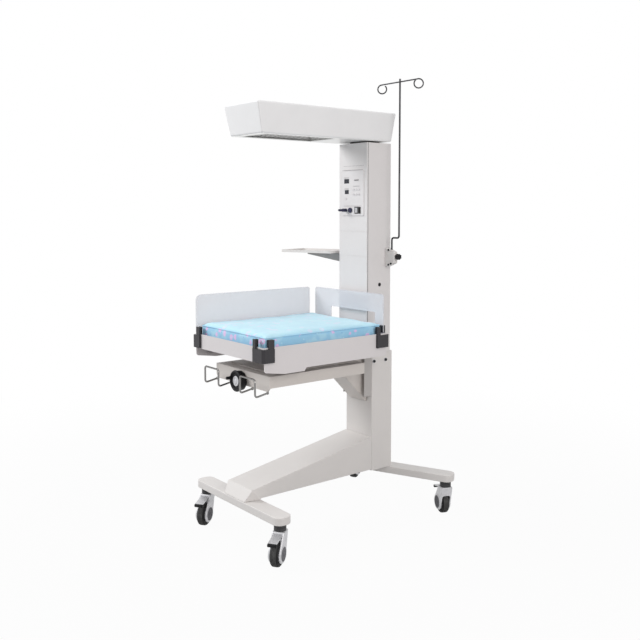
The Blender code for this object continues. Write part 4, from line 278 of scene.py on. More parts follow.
def rubber(name, colour, dust_colour):
    """Tyre rubber: black flanks, and a crown greyed by scuffs and dust where the mesh says crown."""
    finish = Finish(name, colour, 0.72, Specular_IOR_Level=0.2)
    mark = finish.node("ShaderNodeAttribute", {"attribute_name": "crown"})
    crown = Signal(finish, mark.outputs["Fac"])
    dust = finish.noise(70.0, 5.0).ramp(0.35, 0.75)
    tone = finish.mix(crown * (0.35 + 0.4 * dust), colour, dust_colour)
    return finish.done(tone, 0.6 + 0.25 * dust, finish.noise(500.0, 3.0), 0.0001, 0.5)


def clear_sheet(name, colour, alpha):
    """Cast acrylic with a frosted haze that thickens where it is seen at a slant."""
    finish = Finish(name, colour, 0.12, Specular_IOR_Level=0.5, Coat_Weight=0.4)
    haze = finish.noise(7.0, 3.0)
    slant = finish.node("ShaderNodeLayerWeight", None, {"Blend": 0.35}).outputs["Facing"]
    finish.feed(Alpha=alpha + 0.1 * haze + 0.3 * Signal(finish, slant))
    return finish.done(finish.colour, 0.08 + 0.12 * haze, finish.noise(30.0, 2.0), 0.00005, 0.2)


def tinted_window(name, colour):
    """A smoked display window with dust in its gloss."""
    finish = Finish(name, colour, 0.08, Specular_IOR_Level=0.2, Coat_Weight=0.1, Coat_Roughness=0.05)
    film = finish.noise(90.0, 4.0)
    tone = finish.mix(film * 0.5, colour, shade(colour, 2.2))
    return finish.done(tone, 0.05 + 0.12 * film, film, 0.00002, 0.2)


def printed_cloth(name, colours):
    """Coated cotton, plain woven, printed with scattered rosettes, dots and soft clouds, and lightened on
    top as painted light from above.
    """
    ground, pale, blue = colours.cloth, colours.cloth_pale, colours.cloth_blue
    finish = Finish(name, ground, 0.78, Sheen_Weight=0.25, Sheen_Roughness=0.5)
    clouds = finish.noise(13.0, 2.0).ramp(0.48, 0.62)
    tone = finish.mix(clouds * 0.4, ground, pale)
    near, tag = finish.cells(27.0)
    chosen = finish.channel(tag, 0) > 0.38
    petals = finish.noise(120.0, 1.0) * 0.24
    rosette = (1.0 - (near + petals).ramp(0.44, 0.48)) * chosen
    tone = finish.mix(rosette * 0.8, tone, colours.cloth_petal)
    heart = 1.0 - near.ramp(0.1, 0.13)
    tone = finish.mix(heart * chosen, tone, pale)
    far, mark = finish.cells(58.0)
    for edge, index, rarity, amount, colour in ((0.15, 1, 0.7, 0.8, pale), (0.12, 2, 0.82, 0.7, blue)):
        dots = (1.0 - far.ramp(edge, edge + 0.03)) * (finish.channel(mark, index) > rarity)
        tone = finish.mix(dots * amount, tone, colour)
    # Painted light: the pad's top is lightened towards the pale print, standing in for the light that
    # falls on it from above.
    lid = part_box("mattress")[1].z
    top = finish.axis(2).ramp(lid - 0.020, lid - 0.008)
    tone = finish.mix(top * 0.72, tone, pale)
    weave = finish.noise(900.0, 1.0, (1, 3, 1)) + finish.noise(900.0, 1.0, (3, 1, 1))
    relief = weave * 0.12 + finish.noise(38.0, 3.0) * 1.6
    return finish.done(tone, 0.7 + 0.2 * finish.noise(160.0, 3.0), relief, 0.0009, 0.5)


def two_tone(name, left, right, border):
    """A rocker moulded light on its left half and dark on its right."""
    blur = 0.0004
    finish = Finish(name, left, 0.4)
    side = finish.axis(0).ramp(border - blur, border + blur)
    grain = finish.noise(500.0, 2.0)
    tone = finish.mix(side, finish.soil(0.4, shade(left, 0.85), 60.0), right)
    return finish.done(tone, 0.32 + 0.2 * grain, grain, 0.00006, 0.4)


# Mesh building

# How deep a bolt's head or a plug sits in its base
SEAT = 0.0005


def filled_mesh(name, bm):
    mesh = bpy.data.meshes.new(name)
    bm.to_mesh(mesh)
    bm.free()
    return mesh


def linked(name, data):
    """A new object of the data in the scene."""
    made = bpy.data.objects.new(name, data)
    bpy.context.scene.collection.objects.link(made)
    return made


def finished(name, bm, finish, body, sharp_deg=32.0):
    """A piece from a closed bmesh that is already in place, riding on a body."""
    bmesh.ops.remove_doubles(bm, verts=bm.verts, dist=1e-6)
    bmesh.ops.recalc_face_normals(bm, faces=bm.faces)
    mesh = filled_mesh(name, bm)
    mesh.shade_smooth()
    mesh.set_sharp_from_angle(angle=math.radians(sharp_deg))
    mesh.materials.append(bpy.data.materials[finish])
    piece = linked(name, mesh)
    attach(piece, body)
    return piece


def facing(place, direction, roll=None):
    """A matrix that carries local +Z to the direction, and local +Y near the roll, at a place."""
    ahead = Vector(direction).normalized()
    fairly_level = abs(ahead.z) < 0.9
    up = Vector(roll or ((0, 0, 1) if fairly_level else (0, 1, 0)))
    across = up.cross(ahead).normalized()
    turn = Matrix((across, ahead.cross(across), ahead)).transposed()
    return Matrix.Translation(Vector(place)) @ turn.to_4x4()


def add_spun(bm, profile, matrix, steps, closed=False):
    """Adds a solid spun round local Z from (radius, height) points."""
    points = [bm.verts.new((radius, 0, height)) for radius, height in profile]
    pairs = list(zip(points, points[1:]))
    if closed:
        pairs.append((points[-1], points[0]))
    lines = [bm.edges.new(pair) for pair in pairs]
    before = set(bm.verts) - set(points)
    bmesh.ops.spin(
        bm, geom=points + lines, cent=(0, 0, 0), axis=(0, 0, 1), dvec=(0, 0, 0), angle=2 * math.pi,
        steps=steps, use_merge=True, use_duplicate=False,
    )
    made = [vert for vert in bm.verts if vert not in before]
    bmesh.ops.transform(bm, matrix=matrix, verts=made)


def add_box(bm, size, matrix, edge=0.0, segments=2):
    """Adds a box, with its edges rounded if an edge radius is given."""
    made = bmesh.ops.create_cube(bm, size=1.0)["verts"]
    bmesh.ops.scale(bm, vec=size, verts=made)
    if edge:
        lines = list({line for vert in made for line in vert.link_edges})
        done = bmesh.ops.bevel(
            bm, geom=lines, offset=edge, segments=segments, profile=0.5, affect="EDGES", material=-1
        )
        made = list({vert for face in done["faces"] for vert in face.verts})
    bmesh.ops.transform(bm, matrix=matrix, verts=made)


def add_ring_tube(bm, path, radius, sides):
    """Adds a closed round tube that follows a closed path."""
    rings = []
    count = len(path)
    for index, point in enumerate(path):
        ahead = path[(index + 1) % count] - path[index - 1]
        matrix = facing(point, ahead, (0, 0, 1))
        made = bmesh.ops.create_circle(bm, cap_ends=False, segments=sides, radius=radius, matrix=matrix)
        rings.append(list({line for vert in made["verts"] for line in vert.link_edges}))
    for index in range(count):
        bmesh.ops.bridge_loops(bm, edges=rings[index] + rings[(index + 1) % count])


def spun_piece(name, finish, body, profile, places, steps, closed=False, sharp_deg=32.0):
    """A piece that spins one profile at each place, given by a matrix."""
    bm = bmesh.new()
    for matrix in places:
        add_spun(bm, profile, matrix, steps, closed)
    return finished(name, bm, finish, body, sharp_deg)


def boxed_piece(name, finish, body, boxes, edge=0.0, segments=2):
    """A piece of boxes, each given by its size and a matrix."""
    bm = bmesh.new()
    for size, matrix in boxes:
        add_box(bm, size, matrix, edge, segments)
    finished(name, bm, finish, body)


def chamfered_disc(radius, flat, top, shoulder, base, bore=0):
    """Profile of a disc whose flat top slopes from a radius of its own to the shoulder."""
    return [(bore, top), (flat, top), (radius, shoulder), (radius, base), (bore, base)]


def socket_head(radius, height):
    """Profile of a bolt's head with a round socket."""
    socket, bottom = radius * 0.45, height * 0.45
    head = [(0, bottom), (socket, bottom), (socket, height), (radius * 0.85, height)]
    return head + [(radius, height * 0.8), (radius, -SEAT), (0, -SEAT)]


def dome(radius, height):
    """Profile of a low domed plug."""
    top = [(0, height), (radius * 0.45, height * 0.9), (radius * 0.8, height * 0.6)]
    return top + [(radius, height * 0.15), (radius, -SEAT), (0, -SEAT)]


# Finishes

class WarmerColours(bpy.types.PropertyGroup):
    """Colours of the paint, plastic, metal and cloth."""

    enamel: paint("Enamel", "Hood", (0.87, 0.87, 0.88))
    housing_enamel: paint("Housing enamel", "Upper housing and rear cover", (0.76, 0.735, 0.735))
    # Painted shade: a darker, warmer copy of the base enamel for the under-frame and gusset, which lie in
    # the shade of the bed.
    frame_enamel: paint("Frame enamel, painted shade", "Under-frame and gusset", (0.66, 0.62, 0.59))
    base_enamel: paint("Base enamel", "Base, column, tray and pole clamp", (0.735, 0.71, 0.695))
    bed_enamel: paint("Bed enamel", "Bed tub", (0.72, 0.69, 0.70))
    # Partly painted shade: on the mount channel this darker grey paints the shade of its recess between
    # the gusset and the column, and on the louvres the shade in their slots. The arm, lever and nut are
    # simply this grey.
    bracket_grey: paint("Bracket grey and painted shade", "Arm, channel, linkage and louvres", (0.48, 0.46, 0.45))
    foil: paint("Foil", "Face of the console", (0.76, 0.735, 0.74))
    alloy: paint("Alloy", "Caster forks, pedals, washers and handwheel disc", (0.64, 0.64, 0.66))
    # Painted reflection: the chrome is darkened in its colour so that it shows the dark surroundings it
    # would mirror.
    chrome: paint("Chrome", "Hooks, tilt shaft, screw and grille", (0.25, 0.245, 0.24))
    # Painted reflection: nearly black, so that the plated drip pole shows the dark surroundings it would
    # mirror. The column bolts share it.
    steel: paint("Steel, painted dark reflection", "Drip pole and column bolts", (0.045, 0.045, 0.048))
    reflector: paint("Reflector", "Bright sheet in the hood", (0.80, 0.80, 0.79))
    quartz: paint("Quartz", "Heater element", (0.72, 0.68, 0.62))
    acrylic: paint("Acrylic", "Side and head panels", (0.79, 0.79, 0.83))
    window: paint("Window", "Display windows", (0.012, 0.012, 0.02))
    black: paint("Black", "Handwheel, turntable and knob", (0.010, 0.010, 0.011))
    rocker: paint("Rocker", "Light half of the rocker", (0.55, 0.55, 0.57))
    # The collar grey also paints the shadow lines in the housing's seams.
    collar: paint("Collar", "Swivel collars and painted seam shadows", (0.045, 0.045, 0.047))
    clip: paint("Clip", "Corner clips of the bed", (0.022, 0.020, 0.024))
    navy: paint("Navy", "Sensor plug and socket cap", (0.012, 0.013, 0.045))
    hub: paint("Hub", "Wheel hubs, side discs and axle nuts", (0.145, 0.145, 0.158))
    tyre: paint("Tyre", "Tyres and pedal tips", (0.012, 0.012, 0.013))
    dust: paint("Dust", "Dust on the tyres' crowns", (0.13, 0.13, 0.13))
    key_film: paint("Key film", "Membrane keys", (0.68, 0.655, 0.67))
    # The ink also paints the shadow line along the console's top edge.
    ink: paint("Ink", "Printed lines of the console and its painted top shadow line", (0.22, 0.21, 0.22))
    segment: paint("Segment", "Unlit number segments", (0.10, 0.11, 0.12))
    cloth: paint("Cloth", "Ground of the mattress print", (0.33, 0.62, 0.84))
    # The pale print also paints the light on the mattress's top.
    cloth_pale: paint("Pale print", "Clouds and dots of the print, and the painted light on the pad's top", (0.57, 0.84, 0.93))
    cloth_petal: paint("Rosettes", "Rosettes of the print", (0.88, 0.54, 0.86))
    cloth_blue: paint("Flecks", "Deep flecks of the print", (0.12, 0.34, 0.70))


def at_corners(*kinds):
    return [kind + "_" + corner for kind in kinds for corner in CORNERS]


class WARMER_OT_finishes(bpy.types.Operator):
    """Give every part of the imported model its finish"""

    bl_idname = "warmer.finishes"
    bl_label = "Finishes"

    def execute(self, context):
        colours = context.scene.warmer_colours
        rocker_low, rocker_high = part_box("rocker_switch")
        rocker_middle = (rocker_low.x + rocker_high.x) / 2
        worn_by = {
            powder_coat("enamel", colours.enamel): ["hood_shell"],
            powder_coat("housing_enamel", colours.housing_enamel): ["upper_housing", "rear_cover"],
            # Darker enamel that paints the shade under the bed.
            powder_coat("frame_enamel", colours.frame_enamel): ["under_frame", "gusset_bracket"],
            powder_coat("base_enamel", colours.base_enamel): [
                "front_crossbar", "rear_leg_bar", "centre_beam", "lower_column", "instrument_tray",
                "pole_clamp",
            ],
            powder_coat("bed_enamel", colours.bed_enamel): ["bed_tub"],
            # This grey also paints the shade in the channel's recess and in the louvre slots.
            powder_coat("bracket_grey", colours.bracket_grey, 0.5): [
                "column_mount_channel", "tray_arm", "tilt_lever", "lift_nut",
            ],
            powder_coat("console_foil", colours.foil, 0.5): ["control_panel"],
            cast_alloy("caster_alloy", colours.alloy): at_corners("caster_fork", "caster_pedal"),
            # Plating whose darkened colour paints its reflections of dark surroundings.
            plated("chrome_plate", colours.chrome): [
                "wire_hook_left", "wire_hook_right", "tilt_shaft", "lead_screw", "guard_grille",
            ],
            # Colour darkened to paint the dark reflections of the drip pole.
            plated("dark_steel", colours.steel, 0.28): ["drip_pole"],
            brushed("reflector_sheet", colours.reflector): ["hood_reflector"],
            moulded("frosted_quartz", colours.quartz, 0.3, grain=500.0): ["heater_element"],
            clear_sheet("frosted_acrylic", colours.acrylic, 0.44): ["left_panel", "head_panel"],
            tinted_window("smoked_window", colours.window): ["display_upper", "display_lower"],
            moulded("black_plastic", colours.black, gloss=0.18): [
                "handwheel", "clamp_knob", "hood_turntable",
            ],
            two_tone("rocker_plastic", colours.rocker, colours.black, rocker_middle): ["rocker_switch"],
            moulded("collar_grey", colours.collar, gloss=0.3): at_corners("caster_collar"),
            moulded("clip_moulding", colours.clip, 0.48): at_corners("clip"),
            moulded("navy_plastic", colours.navy, 0.35): ["sensor_plug", "socket_cap"],
            moulded("hub_moulding", colours.hub, 0.6, gloss=0.2): at_corners("caster_hub"),
            rubber("tyre_rubber", colours.tyre, colours.dust): at_corners("caster_tyre"),
            printed_cloth("printed_cloth", colours): ["mattress"],
        }
        for material, names in worn_by.items():
            for name in names:
                NODES[name].data.materials.clear()
                NODES[name].data.materials.append(material)
        bare = [name for name in NODES if not any(name in names for names in worn_by.values())]
        if bare:
            raise RuntimeError("no finish for " + ", ".join(bare))
        return {"FINISHED"}


# Mattress

# Corners of the corded seam, their steps, and the spacing along it
SEAM_CORNER = 0.020
SEAM_TURN_DEG = 15
SEAM_SPACING = 0.006


class WarmerMattress(bpy.types.PropertyGroup):
    """How the padded mattress is blown up and stitched."""

    inset: length("Inset", "How much smaller the pad starts", 0.004)
    voxel: length("Voxel", "Size of the pad's remeshed faces", 0.0055)
    pressure: number("Pressure", "Pressure of the stuffing", 4.0)
    swell: length("Swell", "Most that a point of the pad may move", 0.007)
    steps: IntProperty(name="Steps", description="Frames of the simulation", default=20)
    ripple: length("Ripple", "Height of the stuffing's lumps on top", 0.0045)
    ripple_scale: number("Ripple scale", "Lumps per metre", 14.0)
    piping: length("Piping", "Radius of the corded seam", 0.0019)
    piping_drop: length("Piping drop", "Depth of the seam below the pad's top", 0.016)


class WARMER_OT_mattress(bpy.types.Operator):
    """Make the stuffed mattress, with a corded seam round its top"""

    bl_idname = "warmer.mattress"
    bl_label = "Mattress"

    def execute(self, context):
        settings = context.scene.warmer_mattress
        low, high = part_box("mattress")
        middle = (low + high) / 2
        bm = bmesh.new()
        bm.from_mesh(NODES["mattress"].data)
        bmesh.ops.remove_doubles(bm, verts=bm.verts, dist=1e-5)
        size = high - low
        shrink = [1 - 2 * settings.inset / side for side in size]
        bmesh.ops.scale(bm, vec=shrink, space=Matrix.Translation(-middle), verts=bm.verts)
        pad = finished("mattress_cover", bm, "printed_cloth", "bed", 60)
        remesh = pad.modifiers.new("remesh", "REMESH")
        remesh.mode = "VOXEL"
        remesh.voxel_size = settings.voxel
        remesh.use_smooth_shade = True
        self.apply(context, pad)
        rest = [vert.co.copy() for vert in pad.data.vertices]
        self.inflate(context, pad, settings)
        for vert, start in zip(pad.data.vertices, rest):
            move = vert.co - start
            if move.length > settings.swell:
                move *= settings.swell / move.length
            place = start + move
            rise = max(0.0, (start.z - middle.z) / (high.z - middle.z))
            place.z += settings.ripple * rise * noise.noise(place * settings.ripple_scale)
            place.x = min(max(place.x, low.x), high.x)
            place.y = min(max(place.y, low.y), high.y)
            place.z = min(max(place.z, low.z), high.z + settings.inset)
            vert.co = place
        pad.data.update()
        tree = BVHTree.FromObject(pad, context.evaluated_depsgraph_get())
        divide = pad.modifiers.new("smooth", "SUBSURF")
        divide.levels = divide.render_levels = 1
        pad.data.shade_smooth()
        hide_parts("mattress")
        self.make_piping(settings, tree, low, high)
        return {"FINISHED"}

    def apply(self, context, piece):
        """Turn the piece's modifiers into its mesh."""
        evaluated = piece.evaluated_get(context.evaluated_depsgraph_get())
        mesh = bpy.data.meshes.new_from_object(evaluated)
        piece.modifiers.clear()
        piece.data = mesh

    def inflate(self, context, pad, settings):
        """Blow the pad up as a stiff cloth under pressure."""
        cloth = pad.modifiers.new("stuffing", "CLOTH")
        cloth.settings.use_pressure = True
        cloth.settings.uniform_pressure_force = settings.pressure
        cloth.settings.tension_stiffness = 22
        cloth.settings.compression_stiffness = 22
        cloth.settings.bending_stiffness = 0.9
        cloth.settings.quality = 5
        cloth.settings.effector_weights.gravity = 0
        cloth.point_cache.frame_end = settings.steps
        for step in range(1, settings.steps + 1):
            context.scene.frame_set(step)
        self.apply(context, pad)
        context.scene.frame_set(1)

    def make_piping(self, settings, tree, low, high):
        """A corded seam that lies on the pad's flank all round."""
        level = high.z - settings.piping_drop
        middle = Vector(((low.x + high.x) / 2, (low.y + high.y) / 2, level))
        half = (high - low) / 2
        straight_x, straight_y = half.x - SEAM_CORNER, half.y - SEAM_CORNER
        outline = []
        for start_deg, sign_x, sign_y in ((0, 1, 1), (90, -1, 1), (180, -1, -1), (270, 1, -1)):
            for turn_deg in range(start_deg, start_deg + 91, SEAM_TURN_DEG):
                angle = math.radians(turn_deg)
                x = sign_x * straight_x + SEAM_CORNER * math.cos(angle)
                y = sign_y * straight_y + SEAM_CORNER * math.sin(angle)
                outline.append(Vector((x, y, 0)))
        path = []
        for index, point in enumerate(outline):
            following = outline[(index + 1) % len(outline)]
            count = max(1, round((following - point).length / SEAM_SPACING))
            path += [point.lerp(following, step / count) for step in range(count)]
        seated = []
        for point in path:
            found, normal, _, _ = tree.find_nearest(middle + point)
            flat = Vector((normal.x, normal.y, 0)).normalized()
            seated.append(Vector((found.x, found.y, level)) + flat * settings.piping * 0.35)
        bm = bmesh.new()
        add_ring_tube(bm, seated, settings.piping, sides=8)
        finished("mattress_piping", bm, "printed_cloth", "bed", 80)


# Casters

# The flank's fall below the crown and inside the side, in shares of the shoulder
FLANK = ((1.0, 0.0), (0.55, 0.13), (0.18, 0.45), (0.03, 0.8))
# Gap between hub and tyre, and chamfer of the tyre there
TYRE_GAP = 0.0003
BEAD = 0.001
# The pedal's rubber tip, and its place out from the stem and up from the pedal's lowest point
TIP_THICK, TIP_WIDE, TIP_EDGE = 0.0125, 0.0375, 0.0032
TIP_REACH, TIP_RISE = 0.0885, 0.0056


class WarmerCasters(bpy.types.PropertyGroup):
    """Sizes of the caster details."""

    tyre_half: length("Tyre half", "Half the width of a tyre", 0.0164)
    shoulder: length("Shoulder", "Size of the tyre's rounded shoulder", 0.0085)
    groove_half: length("Groove half", "Half the width of a tread groove", 0.0011)
    groove_depth: length("Groove depth", "Depth of the tread grooves", 0.0012)
    groove_pitch: length("Groove pitch", "From one tread groove to the next", 0.0055)
    fork_half: length("Fork half", "From the wheel's middle to a fork's outer face", 0.0255)
    disc_radius: length("Disc radius", "Radius of the fork's dark side disc", 0.0277)
    nut_radius: length("Nut radius", "Radius of the axle nut", 0.0060)
    tip_length: length("Tip length", "Length of the pedal's rubber tip", 0.015)


def joint_place(name):
    return Vector(JOINTS[name]["pos_m"])


def wheel_axis(corner):
    """The middle of a caster's axle, and its direction."""
    spin = "wheel_spin_" + corner
    return joint_place(spin), Vector(JOINTS[spin]["axis"])


class WARMER_OT_casters(bpy.types.Operator):
    """Make the casters' treaded tyres, side discs, axle nuts and pedal tips"""

    bl_idname = "warmer.casters"
    bl_label = "Casters"

    def execute(self, context):
        settings = context.scene.warmer_casters
        for corner in CORNERS:
            self.make_tyre(settings, corner)
            self.make_discs(settings, corner)
            self.make_tip(settings, corner)
        return {"FINISHED"}

    def make_tyre(self, settings, corner):
        """A tyre with three tread grooves, in place of the plain one."""
        axle, lateral = wheel_axis(corner)
        name = "caster_tyre_" + corner
        low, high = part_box(name)
        hub_low, hub_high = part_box("caster_hub_" + corner)
        outer = (high.z - low.z) / 2
        inner = (hub_high.z - hub_low.z) / 2 + TYRE_GAP
        half, groove = settings.tyre_half, settings.groove_half
        bottom = outer - settings.groove_depth
        tread = []
        for row in (1, 0, -1):
            middle = row * settings.groove_pitch
            tread += [(outer, middle + groove), (bottom, middle + groove / 2)]
            tread += [(bottom, middle - groove / 2), (outer, middle - groove)]
        near = [(inner, half - BEAD), (inner + BEAD, half)]
        for drop, inside in FLANK:
            near.append((outer - settings.shoulder * drop, half - settings.shoulder * inside))
        far = [(radius, -height) for radius, height in reversed(near)]
        body, profile, places = "wheel_" + corner, near + tread + far, [facing(axle, lateral)]
        tyre = spun_piece("treaded_tyre_" + corner, "tyre_rubber", body, profile, places, 64, closed=True)
        crown = tyre.data.attributes.new("crown", "FLOAT", "POINT")
        for vert, value in zip(tyre.data.vertices, crown.data):
            reach = vert.co - axle
            on_crown = abs(reach.dot(lateral)) < half * 0.72 and reach.length > outer * 0.95
            value.value = float(on_crown)
        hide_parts(name)

    def make_discs(self, settings, corner):
        """A dark disc with a hexagon nut over each end of the axle."""
        axle, lateral = wheel_axis(corner)
        radius, nut = settings.disc_radius, settings.nut_radius
        disc = [(0, 0.0014), (radius * 0.45, 0.0014), (radius * 0.55, 0.0010), (radius * 0.85, 0.0010)]
        disc += [(radius * 0.95, 0.0015), (radius, 0.0012), (radius, -0.0008), (0, -0.0008)]
        hexagon = chamfered_disc(nut, nut * 0.78, top=0.0030, shoulder=0.0022, base=0.0004)
        body, reach = "swivel_" + corner, settings.fork_half
        places = [facing(axle + lateral * side * reach, lateral * side) for side in (-1, 1)]
        spun_piece("side_discs_" + corner, "hub_moulding", body, disc, places, 40)
        spun_piece("axle_nuts_" + corner, "hub_moulding", body, hexagon, places, 6, sharp_deg=20)

    def make_tip(self, settings, corner):
        """A rubber tip on the pedal's end, turned to the slope from the pedal's pin."""
        _, lateral = wheel_axis(corner)
        heading = Vector((lateral.y, -lateral.x, 0))
        tip = joint_place("swivel_turn_" + corner) + heading * TIP_REACH
        tip.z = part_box("caster_pedal_" + corner)[0].z + TIP_RISE
        slope = tip - joint_place("brake_press_" + corner)
        boxes = [((TIP_THICK, TIP_WIDE, settings.tip_length), facing(tip, slope, lateral))]
        boxed_piece("pedal_tip_" + corner, "tyre_rubber", "brake_" + corner, boxes, TIP_EDGE, 3)


# Column fittings

# Column bolts, back from the column's front
BOLT_DEPTHS = (0.011, 0.081)
# Plugs, out from the column's middle, back from the housing's front and up from the column's top
PLUG_OUT, PLUG_BACK, PLUG_UP = 0.095, 0.076, 0.305
PLUG_HEIGHT = 0.0022
# Clamp screws, from the clamp's left and down from its top
CLAMP_SCREWS = ((0.024, 0.008), (0.024, 0.074), (0.040, 0.068))
# Louvres, and their rounding, which is also how far in their middle lies
LOUVRE_SIZE = (0.104, 0.0036, 0.0056)
LOUVRE_EDGE = 0.0014
# Dark strips that paint the shadow line of the housing's seams, out from the column's middle and back from
# the housing's front, and the gap at either end
STRIP_OUT, STRIP_BACK = 0.0933, 0.0055
STRIP_WIDE, STRIP_DEEP, STRIP_EDGE, STRIP_END = 0.0022, 0.0027, 0.0004, 0.002


class WarmerFittings(bpy.types.PropertyGroup):
    """Sizes of the bolts, plugs, screws and louvres."""

    bolt_radius: length("Bolt radius", "Radius of a column bolt's head", 0.0068)
    bolt_drop: length("Bolt drop", "From the column's top down to its bolts", 0.038)
    plug_radius: length("Plug radius", "Radius of the black hole plugs", 0.0085)
    screw_radius: length("Screw radius", "Radius of a clamp screw's head", 0.0042)
    louvres: IntProperty(name="Louvres", description="Number of rear louvres", default=9)
    louvre_drop: length("Louvre drop", "From the cover's top down to the first louvre", 0.090)
    louvre_pitch: length("Louvre pitch", "From one louvre to the next", 0.014)


class WARMER_OT_column_fittings(bpy.types.Operator):
    """Make the column's bolts and plugs, the clamp's screws, the rear louvres and the seam strips"""

    bl_idname = "warmer.column_fittings"
    bl_label = "Column fittings"

    def execute(self, context):
        settings = context.scene.warmer_fittings
        self.make_bolts(settings)
        self.make_plugs(settings)
        self.make_clamp_screws(settings)
        self.make_louvres(settings)
        self.make_seam_strips()
        return {"FINISHED"}

    def make_bolts(self, settings):
        """Two bolts through each side of the column, where the bed's bracket is held."""
        level = COLUMN_HIGH.z - settings.bolt_drop
        radius = settings.bolt_radius
        head = socket_head(radius, radius * 0.85)
        washer = chamfered_disc(radius * 1.42, radius * 1.35, top=0.0012, shoulder=0.0008, base=-0.0004)
        places = [
            facing((face, COLUMN_LOW.y + depth, level), (side, 0, 0))
            for side, face in ((-1, COLUMN_LOW.x), (1, COLUMN_HIGH.x))
            for depth in BOLT_DEPTHS
        ]
        spun_piece("column_bolts", "dark_steel", "frame", head, places, 28)
        spun_piece("column_washers", "caster_alloy", "frame", washer, places, 32)

    def make_plugs(self, settings):
        """A black plug in the hole of each side of the housing."""
        y, z = HOUSING_LOW.y + PLUG_BACK, COLUMN_HIGH.z + PLUG_UP
        places = [facing((MIDDLE_X + side * PLUG_OUT, y, z), (side, 0, 0)) for side in (-1, 1)]
        plug = dome(settings.plug_radius, PLUG_HEIGHT)
        spun_piece("hole_plugs", "black_plastic", "frame", plug, places, 28)

    def make_clamp_screws(self, settings):
        low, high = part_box("pole_clamp")
        head = socket_head(settings.screw_radius, settings.screw_radius * 0.8)
        places = [facing((low.x + across, low.y, high.z - drop), FRONT) for across, drop in CLAMP_SCREWS]
        spun_piece("clamp_screws", "black_plastic", "frame", head, places, 24)

    def make_louvres(self, settings):
        """Pressed cooling louvres near the top of the rear cover, in a darker grey that paints the shade
        in their slots.
        """
        low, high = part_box("rear_cover")
        boxes = []
        for row in range(settings.louvres):
            level = high.z - settings.louvre_drop - row * settings.louvre_pitch
            place = ((low.x + high.x) / 2, high.y - LOUVRE_EDGE, level)
            boxes.append((LOUVRE_SIZE, Matrix.Translation(place)))
        boxed_piece("rear_louvres", "bracket_grey", "frame", boxes, LOUVRE_EDGE, 3)

    def make_seam_strips(self):
        """A dark strip in the groove behind each front corner of the housing, painting the shadow line of
        the seam.
        """
        y, z = HOUSING_LOW.y + STRIP_BACK, (COLUMN_HIGH.z + HOUSING_HIGH.z) / 2
        size = (STRIP_WIDE, STRIP_DEEP, HOUSING_HIGH.z - COLUMN_HIGH.z - 2 * STRIP_END)
        boxes = [(size, Matrix.Translation((MIDDLE_X + side * STRIP_OUT, y, z))) for side in (-1, 1)]
        boxed_piece("seam_strips", "collar_grey", "frame", boxes, STRIP_EDGE)


# Console

# Keys, across from the column's middle and down from the console's top: two rows, and one below
KEYS = [(across, drop) for across in (0.010, 0.028, 0.046) for drop in (0.089, 0.110)]
KEYS.append((-0.042, 0.128))
# Printed rules and bars, and a painted shadow line along the console's top edge, placed in the same way,
# with their width and height
BARS = (
    (0.0015, 0.161, 0.118, 0.0007),
    # Painted shadow line along the console's top edge
    (0.0010, 0.0028, 0.138, 0.0013),
    (-0.039, 0.036, 0.034, 0.0012),
    (-0.038, 0.085, 0.028, 0.0012),
    (0.0285, 0.074, 0.044, 0.0010),
    (0.0285, 0.047, 0.029, 0.0040),
)
# The faint rule on the housing above the console
HOUSING_BARS = ((0.0044, -0.016, 0.135, 0.0008),)
# From the upper display's front to the console's face
FACE_STEP = 0.0018
# Width and thickness of a number segment
STROKE, STROKE_DEEP = 0.0011, 0.0004
# The rocker's bezel: its gap, the widths of its bars, its thickness, rounding and offset
BEZEL_GAP, BEZEL_LEVEL, BEZEL_UPRIGHT = 0.0026, 0.0030, 0.0054
BEZEL_DEEP, BEZEL_EDGE, BEZEL_PROUD = 0.0016, 0.0005, 0.0002


class WarmerConsole(bpy.types.PropertyGroup):
    """Keys and marks of the console."""

    key_radius: length("Key radius", "Radius of a membrane key", 0.0048)
    relief: length("Relief", "How far the printed marks stand off", 0.00035)


def on_front(face, across, drop):
    """A matrix whose local Z points to the front, placed like the keys, on a face at this y."""
    return facing((MIDDLE_X + across, face, CONSOLE_HIGH.z - drop), FRONT)


